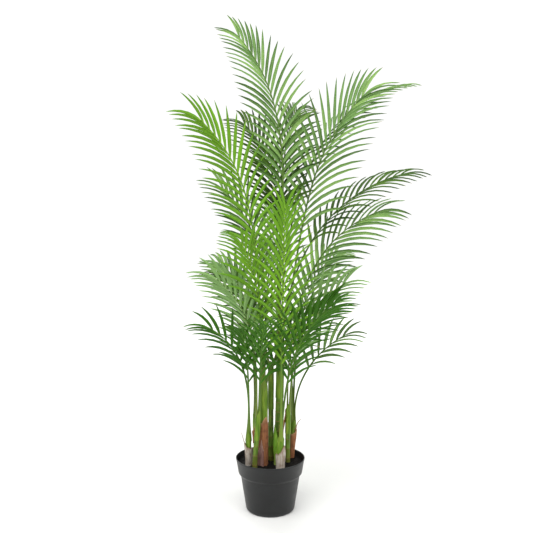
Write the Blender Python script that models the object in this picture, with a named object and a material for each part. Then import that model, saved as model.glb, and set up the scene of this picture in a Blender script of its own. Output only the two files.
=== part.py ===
"""Potted areca palm: nursery pot, peat, slim canes, dry leaf sheaths, a shoot and feathered fronds.

Metres, +Z up. The origin is the centre of the pot's flat underside. +X is to the right and -Y is
towards somebody who looks at the front.
"""

import math
from typing import NamedTuple

import bpy
import numpy as np
from mathutils import Vector
from mathutils.bvhtree import BVHTree

GAP = 0.0003  # clearance between two pieces that touch

# Pot
POT_HEIGHT = 0.155
POT_RIM_RADIUS = 0.105
POT_BAND_HEIGHT = 0.043
POT_BAND_TAPER = 0.0075  # how much narrower the band is at its lower edge
POT_STEP = 0.007  # width and height of the step under the band
POT_BODY_TAPER = 0.016
POT_FOOT_ROUND = 0.008
POT_WALL = 0.0025
POT_FLOOR = 0.003
POT_SIDES = 32
DRAIN_HOLES = 6
DRAIN_HOLE_RADIUS = 0.005
DRAIN_RING = 0.62  # share of the foot's radius
HEADSPACE = 0.017  # from the soil up to the rim

# Canes
CANE_SIDES = 8
CANE_RINGS = 5
SOCKET_DEPTH = 0.020
SOCKET_SIDES = 12

# Dry sheaths
SHEATH_THICKNESS = 0.0012
SHEATH_ROOM = 0.0008  # a dry sheath stands loosely round its cane
SHEATH_COLUMNS = 9
SHEATH_ROWS = 4

# Fronds
STALK_RADIUS = 0.0036  # at the foot of the stalk
RACHIS_RADIUS = 0.0024  # where the first leaflet grows
RACHIS_TIP_RADIUS = 0.0010
STALK_STEP = 0.055  # spacing of the rings along the bare stalk
HANDLE = 0.38  # how far the two leans reach into the curve of the stalk
LEAFLET_SPACING = 0.025  # between two leaflets on one side
LEAFLET_WIDTH = 0.0115
LEAFLET_THICKNESS = 0.0013
SWING_AT_BASE = 47.0  # degrees between a leaflet and the rachis
SWING_AT_TIP = 16.0
DROOP = 0.42
LEAFLET_MARGIN = 0.0008  # room kept round a leaflet while its place is searched
STALK_MARGIN = 0.0004
TURN_STEP = 3  # degrees; a stalk turns, or leans more, until it clears the others
MOST_TURN = 45
EXTRA_LEANS = (0, 4, 8, 12)

FRONT = -90.0


class Cane(NamedTuple):
    """One stem. Its foot is given in shares of the soil's radius."""

    foot_x: float
    foot_y: float
    lean_x: float
    lean_y: float
    height: float
    foot_radius: float
    crown_radius: float


CANES = {
    "left": Cane(-0.66, -0.26, 0.000, -0.006, 0.085, 0.0080, 0.0070),
    "front_left": Cane(-0.47, -0.50, 0.010, 0.004, 0.150, 0.0075, 0.0070),
    "main": Cane(-0.22, -0.19, 0.003, -0.002, 0.235, 0.0135, 0.0100),
    "left_back": Cane(-0.44, 0.30, -0.002, -0.003, 0.140, 0.0080, 0.0072),
    "back_left": Cane(-0.19, 0.62, -0.001, -0.004, 0.210, 0.0085, 0.0078),
    "centre": Cane(0.02, 0.18, 0.000, -0.008, 0.290, 0.0085, 0.0075),
    "front_right": Cane(0.30, -0.56, 0.001, 0.000, 0.087, 0.0110, 0.0080),
    "centre_right": Cane(0.25, 0.02, 0.006, -0.005, 0.360, 0.0135, 0.0100),
    "right_front": Cane(0.53, 0.04, 0.002, -0.004, 0.160, 0.0080, 0.0075),
    "back": Cane(0.27, 0.66, 0.001, -0.003, 0.280, 0.0085, 0.0080),
    "right": Cane(0.66, 0.44, 0.007, 0.002, 0.098, 0.0085, 0.0078),
}

SHOOTS = {"front": Cane(0.15, -0.24, -0.002, 0.004, 0.120, 0.0055, 0.0)}


class Sheath(NamedTuple):
    """A dry shell round a cane. Heights are above the soil, angles in degrees, peak from -1 to 1."""

    cane: str
    facing: float
    wrap: float
    start: float
    shoulder: float
    top: float
    peak: float
    flare: float
    layer: int
    tone: str


SHEATHS = {
    "main": Sheath("main", FRONT, 250.0, GAP, 0.085, 0.150, 0.20, 0.001, 0, "brown"),
    "main_outer": Sheath("main", -115.0, 110.0, GAP, 0.045, 0.078, 0.30, 0.001, 1, "purple"),
    "left": Sheath("left", -110.0, 260.0, GAP, 0.055, 0.078, -0.55, 0.005, 0, "pale"),
    "left_back": Sheath("left_back", -60.0, 200.0, 0.050, 0.090, 0.135, 0.00, 0.001, 0, "brown"),
    "front_right": Sheath("front_right", FRONT, 210.0, GAP, 0.045, 0.074, 0.45, 0.003, 0, "pale"),
    "centre_right": Sheath("centre_right", -20.0, 130.0, 0.070, 0.100, 0.160, 0.10, 0.001, 0, "brown"),
    "right": Sheath("right", -80.0, 250.0, GAP, 0.075, 0.094, 0.60, 0.003, 0, "brown"),
}


class Frond(NamedTuple):
    """One frond: where its tip is from its crown, how it leaves and ends, and its leaflets."""

    cane: str
    heading: float
    reach: float
    rise: float
    lean_start: float
    lean_end: float
    blade: float
    leaflet: float
    roll: float
    lift: float
    tone: str


FRONDS = {
    "top_left": Frond("centre_right", 155, 0.142, 0.965, 3, 40, 0.54, 0.160, -60, 22, "mature"),
    "upper_left": Frond("centre", -148, 0.240, 0.730, 15, 55, 0.45, 0.165, 58, 22, "bright"),
    "top_back": Frond("back", 135, 0.160, 0.800, 1, 50, 0.40, 0.160, -40, 22, "shade"),
    "top_right": Frond("centre", 13, 0.310, 0.865, 19, 46, 0.51, 0.200, 66, 20, "mature"),
    "top_far_right": Frond("back", 8, 0.400, 0.910, 0, 74, 0.45, 0.120, 20, 8, "mature"),
    "right_arching": Frond("centre_right", 0, 0.380, 0.524, 1, 77, 0.38, 0.132, 34, 4, "shade"),
    "right_mid": Frond("right_front", -8, 0.280, 0.605, 0, 70, 0.36, 0.165, 60, -16, "mature"),
    "right_low": Frond("right_front", -30, 0.180, 0.390, 2, 58, 0.28, 0.140, -50, 20, "mature"),
    "front_low_right": Frond("main", -23, 0.215, 0.260, 12, 42, 0.31, 0.130, -55, 20, "lush"),
    "right_lowest": Frond("right", 0, 0.168, 0.290, -6, 63, 0.172, 0.108, 58, 22, "mature"),
    "left_lowest": Frond("left", -163, 0.122, 0.336, -7, 63, 0.182, 0.122, 62, 20, "lush"),
    "left_mid": Frond("front_left", -156, 0.130, 0.415, 0, 54, 0.29, 0.150, 60, 18, "mature"),
    "left_upper": Frond("back_left", 171, 0.140, 0.640, 0, 46, 0.32, 0.155, -60, 22, "mature"),
    "centre_front": Frond("front_right", -88, 0.190, 0.670, 5, 34, 0.48, 0.145, 0, 26, "bright"),
    "left_low_back": Frond("back_left", 140, 0.200, 0.370, 2, 76, 0.25, 0.130, -40, 20, "shade"),
    "front_mid": Frond("main", -110, 0.180, 0.430, 4, 60, 0.32, 0.140, 20, 22, "bright"),
    "front_right_mid": Frond("front_right", -42, 0.190, 0.400, 5, 62, 0.30, 0.140, -35, 20, "lush"),
    "front_low": Frond("front_left", -84, 0.160, 0.290, 4, 62, 0.25, 0.125, 0, 20, "lush"),
    "left_front_low": Frond("left", -100, 0.120, 0.330, 2, 60, 0.20, 0.112, 10, 22, "lush"),
    "back_high": Frond("centre_right", 72, 0.220, 0.780, 3, 58, 0.46, 0.160, 20, 20, "shade"),
    "back_mid": Frond("back", 92, 0.270, 0.540, 2, 80, 0.38, 0.150, 8, 20, "mature"),
    "back_right_mid": Frond("right", 48, 0.240, 0.540, 2, 70, 0.36, 0.150, 30, 20, "mature"),
    "back_right_low": Frond("right", 84, 0.200, 0.350, 2, 76, 0.28, 0.130, 10, 20, "mature"),
    "back_left_mid": Frond("left_back", 132, 0.190, 0.470, 2, 70, 0.32, 0.150, -30, 20, "mature"),
    "back_left_low": Frond("left_back", 104, 0.190, 0.330, 2, 78, 0.26, 0.130, 0, 20, "shade"),
    "back_low": Frond("back_left", 82, 0.230, 0.430, 2, 82, 0.30, 0.140, -8, 20, "mature"),
}

# name: red, green, blue (linear), roughness
MATERIALS = {
    "pot_plastic": (0.028, 0.031, 0.033, 0.55),
    "peat_soil": (0.012, 0.009, 0.007, 0.95),
    "cane_green": (0.130, 0.270, 0.040, 0.50),
    "sheath_brown": (0.240, 0.095, 0.050, 0.80),
    "sheath_purple": (0.160, 0.085, 0.075, 0.80),
    "sheath_pale": (0.560, 0.480, 0.410, 0.80),
    "frond_bright": (0.150, 0.400, 0.030, 0.45),
    "frond_mature": (0.120, 0.260, 0.080, 0.50),
    "frond_shade": (0.060, 0.150, 0.030, 0.50),
    "frond_lush": (0.045, 0.170, 0.010, 0.50),
}

UP = Vector((0.0, 0.0, 1.0))


class Pot:
    """The pot's outline, and the heights and radii that the other pieces take from it."""

    band_foot_z = POT_HEIGHT - POT_BAND_HEIGHT
    band_foot_radius = POT_RIM_RADIUS - POT_BAND_TAPER
    body_top_z = band_foot_z - POT_STEP
    body_top_radius = band_foot_radius - POT_STEP
    foot_radius = body_top_radius - POT_BODY_TAPER
    soil_z = POT_HEIGHT - HEADSPACE
    soil_radius = band_foot_radius - POT_WALL + POT_BAND_TAPER * (soil_z - band_foot_z) / POT_BAND_HEIGHT

    @classmethod
    def outline(cls):
        """The pot's section, as points (radius, height) from the axis underneath to the axis inside."""
        lip = POT_WALL / 2
        flat = cls.foot_radius - POT_FOOT_ROUND
        return [
            (0.0, 0.0),
            (flat, 0.0),
            (cls.foot_radius - 0.3 * POT_FOOT_ROUND, 0.3 * POT_FOOT_ROUND),
            (cls.foot_radius, POT_FOOT_ROUND),
            (cls.body_top_radius, cls.body_top_z),
            (cls.band_foot_radius, cls.band_foot_z),
            (POT_RIM_RADIUS, POT_HEIGHT - lip),
            (POT_RIM_RADIUS - lip, POT_HEIGHT),
            (POT_RIM_RADIUS - POT_WALL, POT_HEIGHT - lip),
            (cls.band_foot_radius - POT_WALL, cls.band_foot_z),
            (cls.body_top_radius - POT_WALL, cls.body_top_z),
            (cls.foot_radius - POT_WALL, POT_FOOT_ROUND),
            (flat, POT_FLOOR),
            (0.0, POT_FLOOR),
        ]

    @classmethod
    def soil_outline(cls):
        """The soil's section: the inside of the pot, drawn in by the clearance, up to the soil's level."""
        room = 1.5 * GAP
        flat = cls.foot_radius - POT_FOOT_ROUND
        return [
            (0.0, POT_FLOOR + GAP),
            (flat - room, POT_FLOOR + GAP),
            (cls.foot_radius - POT_WALL - room, POT_FOOT_ROUND + room),
            (cls.body_top_radius - POT_WALL - room, cls.body_top_z + GAP),
            (cls.band_foot_radius - POT_WALL - room, cls.band_foot_z + GAP),
            (cls.soil_radius - room, cls.soil_z),
            (0.0, cls.soil_z),
        ]


def material(name):
    made = bpy.data.materials.get(name)
    if made:
        return made
    red, green, blue, roughness = MATERIALS[name]
    made = bpy.data.materials.new(name)
    made.use_nodes = True
    shader = made.node_tree.nodes["Principled BSDF"]
    shader.inputs["Base Color"].default_value = (red, green, blue, 1.0)
    shader.inputs["Roughness"].default_value = roughness
    shader.inputs["Metallic"].default_value = 0.0
    made.diffuse_color = (red, green, blue, 1.0)
    return made


def add_object(name, points, faces, finish, smooth=False):
    """Adds a mesh object, with its faces turned outwards."""
    corners = np.array([tuple(point) for point in points])
    volume = 0.0
    for face in faces:
        for second, third in zip(face[1:-1], face[2:]):
            volume += np.dot(corners[face[0]], np.cross(corners[second], corners[third]))
    if volume < 0:
        faces = [tuple(reversed(face)) for face in faces]
    mesh = bpy.data.meshes.new(name)
    mesh.from_pydata([tuple(point) for point in points], [], faces)
    mesh.update()
    if smooth:
        mesh.shade_smooth()
    obj = bpy.data.objects.new(name, mesh)
    bpy.context.scene.collection.objects.link(obj)
    mesh.materials.append(material(finish))
    return obj


def as_cutter(obj):
    obj.hide_render = True
    obj.display_type = "WIRE"
    return obj


def cut(obj, cutter):
    modifier = obj.modifiers.new(cutter.name, "BOOLEAN")
    modifier.operation = "DIFFERENCE"
    modifier.solver = "EXACT"
    modifier.object = cutter


def turned(outline, sides):
    """Points and faces of an outline spun round Z. Its first and last points lie on the axis."""
    points = [Vector((0.0, 0.0, outline[0][1]))]
    rings = []
    for radius, height in outline[1:-1]:
        rings.append(list(range(len(points), len(points) + sides)))
        for side in range(sides):
            angle = math.tau * side / sides
            points.append(Vector((radius * math.cos(angle), radius * math.sin(angle), height)))
    points.append(Vector((0.0, 0.0, outline[-1][1])))
    return points, bridge(rings, first_pole=0, last_pole=len(points) - 1)


def bridge(rings, first_pole=None, last_pole=None):
    """Faces that join closed rings of the same length. Without a pole, an end gets a flat cap."""
    faces = []
    count = len(rings[0])
    for lower, upper in zip(rings, rings[1:]):
        for side in range(count):
            after = (side + 1) % count
            faces.append((lower[side], lower[after], upper[after], upper[side]))
    if first_pole is None:
        faces.append(tuple(reversed(rings[0])))
    else:
        faces += [(first_pole, rings[0][(side + 1) % count], rings[0][side]) for side in range(count)]
    if last_pole is None:
        faces.append(tuple(rings[-1]))
    else:
        faces += [(last_pole, rings[-1][side], rings[-1][(side + 1) % count]) for side in range(count)]
    return faces


def cylinder(centre, radius, low, high, sides):
    points = []
    for height in (low, high):
        for side in range(sides):
            angle = math.tau * side / sides
            spot = Vector((math.cos(angle), math.sin(angle), 0.0)) * radius
            points.append(Vector((centre.x + spot.x, centre.y + spot.y, height)))
    return points, bridge([list(range(sides)), list(range(sides, 2 * sides))])


def merged(solids):
    """One list of points and one of faces from several solids."""
    points, faces = [], []
    for more_points, more_faces in solids:
        start = len(points)
        points += more_points
        faces += [tuple(start + index for index in face) for face in more_faces]
    return points, faces


class CaneLine:
    """The axis and thickness of a cane: upright in its socket, then leaning over to its crown."""

    def __init__(self, cane):
        self.cane = cane
        self.foot = Vector((cane.foot_x, cane.foot_y, 0.0)) * Pot.soil_radius
        self.top = Pot.soil_z + cane.height

    def share(self, height):
        return min(1.0, max(0.0, (height - Pot.soil_z) / self.cane.height))

    def axis(self, height):
        share = self.share(height)
        eased = share * share * (3.0 - 2.0 * share)
        return self.foot + Vector((self.cane.lean_x, self.cane.lean_y, 0.0)) * eased + UP * height

    def radius(self, height):
        return self.cane.foot_radius + (self.cane.crown_radius - self.cane.foot_radius) * self.share(height)

    def heights(self):
        rings = [Pot.soil_z - SOCKET_DEPTH + GAP]
        return rings + [Pot.soil_z + self.cane.height * step / (CANE_RINGS - 1) for step in range(CANE_RINGS)]

    def solid(self):
        """Points and faces. A cane with no crown radius ends in a point."""
        points, rings = [], []
        heights = self.heights()
        pointed = self.cane.crown_radius == 0.0
        for height in heights[:-1] if pointed else heights:
            rings.append(list(range(len(points), len(points) + CANE_SIDES)))
            centre = self.axis(height)
            radius = self.radius(height)
            for side in range(CANE_SIDES):
                angle = math.tau * side / CANE_SIDES
                points.append(centre + Vector((math.cos(angle), math.sin(angle), 0.0)) * radius)
        if not pointed:
            return points, bridge(rings)
        points.append(self.axis(heights[-1]))
        return points, bridge(rings, last_pole=len(points) - 1)

    def socket(self):
        radius = (self.cane.foot_radius + GAP) / math.cos(math.pi / SOCKET_SIDES)
        low = Pot.soil_z - SOCKET_DEPTH
        return cylinder(self.foot, radius, low, Pot.soil_z + SOCKET_DEPTH, SOCKET_SIDES)


def sheath_solid(sheath, line):
    """A thin curved shell round a cane, with a torn top that rises to one peak."""
    inside = SHEATH_ROOM + sheath.layer * (SHEATH_THICKNESS + SHEATH_ROOM)
    outside = inside + SHEATH_THICKNESS
    flat_side = math.cos(math.radians(sheath.wrap) / (SHEATH_COLUMNS - 1) / 2)
    points = []
    for offset in (inside, outside):
        for column in range(SHEATH_COLUMNS):
            across = 2.0 * column / (SHEATH_COLUMNS - 1) - 1.0
            angle = math.radians(sheath.facing + across * sheath.wrap / 2)
            nearness = max(0.0, 1.0 - abs(across - sheath.peak) / 0.9)
            height = sheath.shoulder + (sheath.top - sheath.shoulder) * nearness**1.6
            for row in range(SHEATH_ROWS):
                up = row / (SHEATH_ROWS - 1)
                z = Pot.soil_z + sheath.start + (height - sheath.start) * up
                radius = (line.radius(z) + offset) / flat_side + sheath.flare * up * up
                points.append(line.axis(z) + Vector((math.cos(angle), math.sin(angle), 0.0)) * radius)
    per_skin = SHEATH_COLUMNS * SHEATH_ROWS

    def at(skin, column, row):
        return skin * per_skin + column * SHEATH_ROWS + row

    faces = []
    last_column, last_row = SHEATH_COLUMNS - 1, SHEATH_ROWS - 1
    for column in range(last_column):
        for row in range(last_row):
            corners = [(column, row), (column, row + 1), (column + 1, row + 1), (column + 1, row)]
            faces.append(tuple(at(0, *corner) for corner in corners))
            faces.append(tuple(at(1, *corner) for corner in reversed(corners)))
        faces.append((at(0, column, 0), at(0, column + 1, 0), at(1, column + 1, 0), at(1, column, 0)))
        near, far = (column, last_row), (column + 1, last_row)
        faces.append((at(0, *near), at(1, *near), at(1, *far), at(0, *far)))
    for row in range(last_row):
        faces.append((at(0, 0, row), at(1, 0, row), at(1, 0, row + 1), at(0, 0, row + 1)))
        near, far = (last_column, row), (last_column, row + 1)
        faces.append((at(0, *near), at(0, *far), at(1, *far), at(1, *near)))
    return points, faces


class Placed:
    """The solids placed so far, for finding room for the next one."""

    def __init__(self):
        self.lows, self.highs, self.trees, self.owners = [], [], [], []

    def add(self, points, faces, owner):
        corners = np.array([tuple(point) for point in points])
        self.lows.append(corners.min(axis=0))
        self.highs.append(corners.max(axis=0))
        self.trees.append(BVHTree.FromPolygons([tuple(point) for point in points], faces))
        self.owners.append(owner)

    def clear_of(self, points, faces, skip=None, only=None):
        """True if nothing placed so far touches this solid. It can skip an owner, or try only one."""
        corners = np.array([tuple(point) for point in points])
        low, high = corners.min(axis=0), corners.max(axis=0)
        below = np.all(np.array(self.lows) <= high, axis=1)
        near = below & np.all(np.array(self.highs) >= low, axis=1)
        tree = BVHTree.FromPolygons([tuple(point) for point in points], faces)
        for index in np.flatnonzero(near):
            owner = self.owners[index]
            if owner != skip and only in (None, owner) and tree.overlap(self.trees[index]):
                return False
        return True


class Ring(NamedTuple):
    """One station of a frond's stalk: its centre, three axes, half-width, and share of the blade."""

    centre: Vector
    along: Vector
    side: Vector
    above: Vector
    half: float
    share: float

    def corners(self, more=0.0):
        half = self.half + more
        return [
            self.centre + self.side * half,
            self.centre - self.above * half * 1.2,
            self.centre - self.side * half,
        ]


def along_curve(frond, start):
    """A fine polyline from the crown to the frond's tip, its running length and its outward direction."""
    heading = math.radians(frond.heading)
    out = Vector((math.cos(heading), math.sin(heading), 0.0))
    end = start + out * frond.reach + UP * frond.rise
    handle = HANDLE * (end - start).length
    lean_start, lean_end = math.radians(frond.lean_start), math.radians(frond.lean_end)
    first = start + (out * math.sin(lean_start) + UP * math.cos(lean_start)) * handle
    second = end - (out * math.sin(lean_end) + UP * math.cos(lean_end)) * handle
    shares = np.linspace(0.0, 1.0, 121)[:, None]
    rest = 1.0 - shares
    curve = (
        rest**3 * np.array(start)
        + 3 * rest**2 * shares * np.array(first)
        + 3 * rest * shares**2 * np.array(second)
        + shares**3 * np.array(end)
    )
    steps = np.linalg.norm(np.diff(curve, axis=0), axis=1)
    return curve, np.concatenate([[0.0], np.cumsum(steps)]), out


def stalk_rings(frond, start, foot_radius):
    """Rings from the crown to the tip: wide steps on the bare stalk, then one per leaflet."""
    curve, lengths, out = along_curve(frond, start)
    total = lengths[-1]
    bare = total - frond.blade
    steps = max(3, round(bare / STALK_STEP))
    pairs = max(4, round(frond.blade / LEAFLET_SPACING))
    stations = [bare * step / steps for step in range(steps)]
    stations += [bare + frond.blade * step / (2 * pairs) for step in range(2 * pairs + 1)]
    side = UP.cross(out)
    rings = []
    for station in stations:
        spot = Vector([float(np.interp(station, lengths, curve[:, axis])) for axis in range(3)])
        before = [float(np.interp(station - 0.004, lengths, curve[:, axis])) for axis in range(3)]
        after = [float(np.interp(station + 0.004, lengths, curve[:, axis])) for axis in range(3)]
        tangent = (Vector(after) - Vector(before)).normalized() if station > 0 else UP
        share = max(0.0, (station - bare) / frond.blade)
        if share > 0.0:
            half = RACHIS_RADIUS + (RACHIS_TIP_RADIUS - RACHIS_RADIUS) * share
        else:
            half = foot_radius + (min(RACHIS_RADIUS, foot_radius) - foot_radius) * station / bare
        roll = math.radians(frond.roll) * min(1.0, station / bare)
        above = side.cross(tangent).normalized()
        if above.dot(UP - out) < 0:
            above = -above
        turned_side = side * math.cos(roll) + above * math.sin(roll)
        turned_above = above * math.cos(roll) - side * math.sin(roll)
        rings.append(Ring(spot, tangent, turned_side, turned_above, half, share))
    return rings, steps


def stalk_solid(rings, more=0.0):
    points, indexes = [], []
    for ring in rings:
        indexes.append(list(range(len(points), len(points) + 3)))
        points += ring.corners(more)
    return points, bridge(indexes)


def leaflet_shape(lower, upper, side, length, lift, swing, more=0.0):
    """The middle triangle and the tip of a leaflet that grows from between two rings, on side 1 or -1."""
    along = (lower.along + upper.along).normalized()
    outward = lower.side * side
    root = (lower.centre + upper.centre) / 2 + outward * lower.half
    swing, lift = math.radians(swing), math.radians(lift)
    spread = outward * math.cos(lift) + lower.above * math.sin(lift)
    direction = (along * math.cos(swing) + spread * math.sin(swing)).normalized()
    ending = (direction - UP * DROOP).normalized()
    middle = root + direction * length * 0.5
    tip = middle + ending * (length * 0.5 + 2 * more)
    across = (along - direction * along.dot(direction)).normalized()
    facing = across.cross(direction).normalized() * side
    if facing.dot(lower.above) < 0:
        facing = -facing
    half_width = LEAFLET_WIDTH * min(1.0, 0.5 + length / 0.28) / 2 + more
    near = middle - across * half_width + facing * more
    far = middle + across * half_width + facing * more
    keel = middle - facing * (LEAFLET_THICKNESS + more)
    return near, keel, far, tip


# A leaflet's skin. 0 to 3 are its four corners on the rachis, 4 to 6 its middle, and 7 is its tip.
LEAFLET_FACES = [(0, 1, 5), (0, 5, 4), (1, 2, 5), (2, 3, 6), (2, 6, 5)]
LEAFLET_FACES += [(3, 0, 4), (3, 4, 6), (4, 5, 7), (5, 6, 7), (6, 4, 7)]


def leaflet_test_solid(lower, upper, side, shape, off=0.0):
    """A closed copy of a leaflet. It can start a share of the way off the rachis."""
    near, keel, far, tip = shape
    low, high = lower.corners(), upper.corners()
    edge = 0 if side > 0 else 2
    base = [low[edge], low[1], high[1], high[edge]]
    moved = [corner.lerp(goal, off) for corner, goal in zip(base, (near, keel, keel, far))]
    return moved + [near, keel, far, tip], LEAFLET_FACES + [(2, 1, 0), (3, 2, 0)]


def leaflet_length(frond, share):
    return frond.leaflet * (0.30 + 0.70 * math.sin(math.pi * (0.22 + 0.64 * share)))


# Tries for a leaflet, in order: change of lift, change of swing, share of its length
TRIES = [(0, 0, 1.0), (9, 0, 1.0), (-9, 0, 1.0), (18, 0, 1.0), (-18, 0, 1.0), (0, 7, 1.0), (0, -7, 1.0)]
TRIES += [(9, 6, 0.85), (-9, -6, 0.85), (27, 0, 0.85), (-27, 0, 0.85)]
TRIES += [(0, 0, 0.7), (12, 0, 0.7), (-12, 0, 0.7)]
TRIES += [(0, 0, 0.5), (15, 5, 0.5), (-15, -5, 0.5)]


def find_leaflet(frond, name, lower, upper, side, placed):
    """The first try that has room, or None."""
    share = (lower.share + upper.share) / 2
    length = leaflet_length(frond, share)
    swing = SWING_AT_BASE + (SWING_AT_TIP - SWING_AT_BASE) * share**1.2
    for more_lift, more_swing, shorter in TRIES:
        way = (lower, upper, side, length * shorter, frond.lift + more_lift, swing + more_swing)
        wide = leaflet_shape(*way, more=LEAFLET_MARGIN)
        clear_of_others = placed.clear_of(*leaflet_test_solid(lower, upper, side, wide), skip=name)
        if clear_of_others and placed.clear_of(*leaflet_test_solid(lower, upper, side, wide, 0.2), only=name):
            shape = leaflet_shape(*way)
            placed.add(*leaflet_test_solid(lower, upper, side, shape), name)
            return shape
    return None


def frond_solid(frond, name, rings, steps, placed):
    """The stalk with its leaflets drawn out of it, left and right in turn, as one closed skin."""
    points, indexes = [], []
    for ring in rings:
        indexes.append(list(range(len(points), len(points) + 3)))
        points += ring.corners()
    faces = [tuple(reversed(indexes[0])), tuple(indexes[-1])]
    for number in range(len(rings) - 1):
        left, keel, right = indexes[number]
        next_left, next_keel, next_right = indexes[number + 1]
        faces += [(right, left, next_left), (right, next_left, next_right)]
        growing = (1 if (number - steps) % 2 == 0 else -1) if number >= steps else 0
        for side, edge, next_edge in ((1, left, next_left), (-1, right, next_right)):
            shape = None
            if side == growing:
                shape = find_leaflet(frond, name, rings[number], rings[number + 1], side, placed)
            corners = [edge, keel, next_keel, next_edge]
            skin = [(0, 1, 2), (0, 2, 3)]
            if shape:
                corners += range(len(points), len(points) + len(shape))
                points += shape
                skin = LEAFLET_FACES
            faces += [tuple(corners[index] for index in face[::side]) for face in skin]
    return points, faces


def crown_seats(lines):
    """Where each frond leaves its crown. The fronds of one cane share its top, by heading."""
    seats = {}
    for cane_name, line in lines.items():
        names = [name for name in FRONDS if FRONDS[name].cane == cane_name]
        names.sort(key=lambda name: FRONDS[name].heading)
        radius = line.cane.crown_radius
        for place, name in enumerate(names):
            angle = math.radians(FRONDS[names[0]].heading + 360.0 * place / len(names))
            off = 0.0 if len(names) == 1 else 0.56 * radius
            spot = line.axis(line.top) + Vector((math.cos(angle), math.sin(angle), 0.0)) * off + UP * GAP
            seats[name] = (spot, min(STALK_RADIUS, 0.36 * radius))
    return seats


def place_stalks(seats, placed):
    """Finds each stalk a heading at which it clears what stands already, as near as can be to its own."""
    turns = [0] + [sign * step for step in range(TURN_STEP, MOST_TURN + 1, TURN_STEP) for sign in (1, -1)]
    ways = [(turn, lean) for turn in turns for lean in EXTRA_LEANS]
    ways.sort(key=lambda way: abs(way[0]) + way[1])
    stalks = {}
    for name, frond in FRONDS.items():
        start, foot_radius = seats[name]
        for turn, lean in ways:
            leaning = frond._replace(lean_start=frond.lean_start + lean, heading=frond.heading + turn)
            rings, steps = stalk_rings(leaning, start, foot_radius)
            if placed.clear_of(*stalk_solid(rings, STALK_MARGIN)):
                break
        stalks[name] = (rings, steps)
        placed.add(*stalk_solid(rings), name)
    return stalks


def build_pot():
    points, faces = turned(Pot.outline(), POT_SIDES)
    pot = add_object("pot", points, faces, "pot_plastic", smooth=True)
    holes = []
    for number in range(DRAIN_HOLES):
        angle = math.tau * number / DRAIN_HOLES
        spot = Vector((math.cos(angle), math.sin(angle), 0.0)) * Pot.foot_radius * DRAIN_RING
        holes.append(cylinder(spot, DRAIN_HOLE_RADIUS, -POT_FLOOR, 2 * POT_FLOOR, SOCKET_SIDES))
    cutter = as_cutter(add_object("drain_hole_cutter", *merged(holes), "pot_plastic"))
    cut(pot, cutter)


def build_soil(lines):
    points, faces = turned(Pot.soil_outline(), POT_SIDES)
    soil = add_object("soil", points, faces, "peat_soil", smooth=True)
    cutter = add_object("socket_cutter", *merged([line.socket() for line in lines]), "peat_soil")
    cut(soil, as_cutter(cutter))


def main():
    for obj in list(bpy.data.objects):
        bpy.data.objects.remove(obj, do_unlink=True)
    bpy.context.scene.unit_settings.system = "METRIC"
    cane_lines = {name: CaneLine(cane) for name, cane in CANES.items()}
    shoot_lines = {name: CaneLine(shoot) for name, shoot in SHOOTS.items()}
    build_pot()
    build_soil(list(cane_lines.values()) + list(shoot_lines.values()))
    placed = Placed()
    for prefix, lines in (("cane_", cane_lines), ("shoot_", shoot_lines)):
        for name, line in lines.items():
            points, faces = line.solid()
            add_object(prefix + name, points, faces, "cane_green", smooth=True)
            placed.add(points, faces, prefix + name)
    for name, sheath in SHEATHS.items():
        points, faces = sheath_solid(sheath, cane_lines[sheath.cane])
        add_object("sheath_" + name, points, faces, "sheath_" + sheath.tone)
        placed.add(points, faces, "sheath_" + name)
    stalks = place_stalks(crown_seats(cane_lines), placed)
    for name, (rings, steps) in stalks.items():
        points, faces = frond_solid(FRONDS[name], name, rings, steps, placed)
        add_object("frond_" + name, points, faces, "frond_" + FRONDS[name].tone)


main()
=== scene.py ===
"""A potted areca palm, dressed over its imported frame.

Metres, +Z up. The origin is the centre of the pot's underside, and -Y is the front.
Each sub-assembly is a class that models its own meshes and dresses them with its own finish.
"""

from __future__ import annotations

import logging
import math
from collections.abc import Callable, Iterator
from contextlib import contextmanager
from dataclasses import dataclass, field
from enum import Enum
from typing import Any, ClassVar

import bmesh
import bpy
import numpy as np
from mathutils import Matrix, Vector
from mathutils import noise as sculpt_noise

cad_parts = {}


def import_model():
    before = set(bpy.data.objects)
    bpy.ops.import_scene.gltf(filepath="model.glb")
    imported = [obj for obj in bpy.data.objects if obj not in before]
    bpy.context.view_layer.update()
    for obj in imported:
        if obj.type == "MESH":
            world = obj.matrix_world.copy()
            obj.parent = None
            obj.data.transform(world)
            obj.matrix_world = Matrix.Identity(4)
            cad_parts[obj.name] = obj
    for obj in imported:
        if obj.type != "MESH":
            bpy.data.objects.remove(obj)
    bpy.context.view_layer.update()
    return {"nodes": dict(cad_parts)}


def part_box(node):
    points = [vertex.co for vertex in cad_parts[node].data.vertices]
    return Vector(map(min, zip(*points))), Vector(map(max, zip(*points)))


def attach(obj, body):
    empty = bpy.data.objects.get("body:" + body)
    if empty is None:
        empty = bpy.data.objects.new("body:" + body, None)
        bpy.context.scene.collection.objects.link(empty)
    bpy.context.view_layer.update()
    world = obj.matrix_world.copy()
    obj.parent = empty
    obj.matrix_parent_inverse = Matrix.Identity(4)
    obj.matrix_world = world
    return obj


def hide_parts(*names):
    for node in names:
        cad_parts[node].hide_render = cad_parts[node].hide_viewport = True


Object = bpy.types.Object
Socket = bpy.types.NodeSocket
Tree = bpy.types.NodeTree
Range = tuple[float, float]

LOG = logging.getLogger("potted_palm")
BODY = "root"
LEAF_MAP = "leaf_map"
TINT = "tint"
WEAR = "wear"
SIDE = "side"
ORIGIN = (0.0, 0.0, 0.0)
HAIR = 1e-6  # two points nearer than this are one


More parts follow.
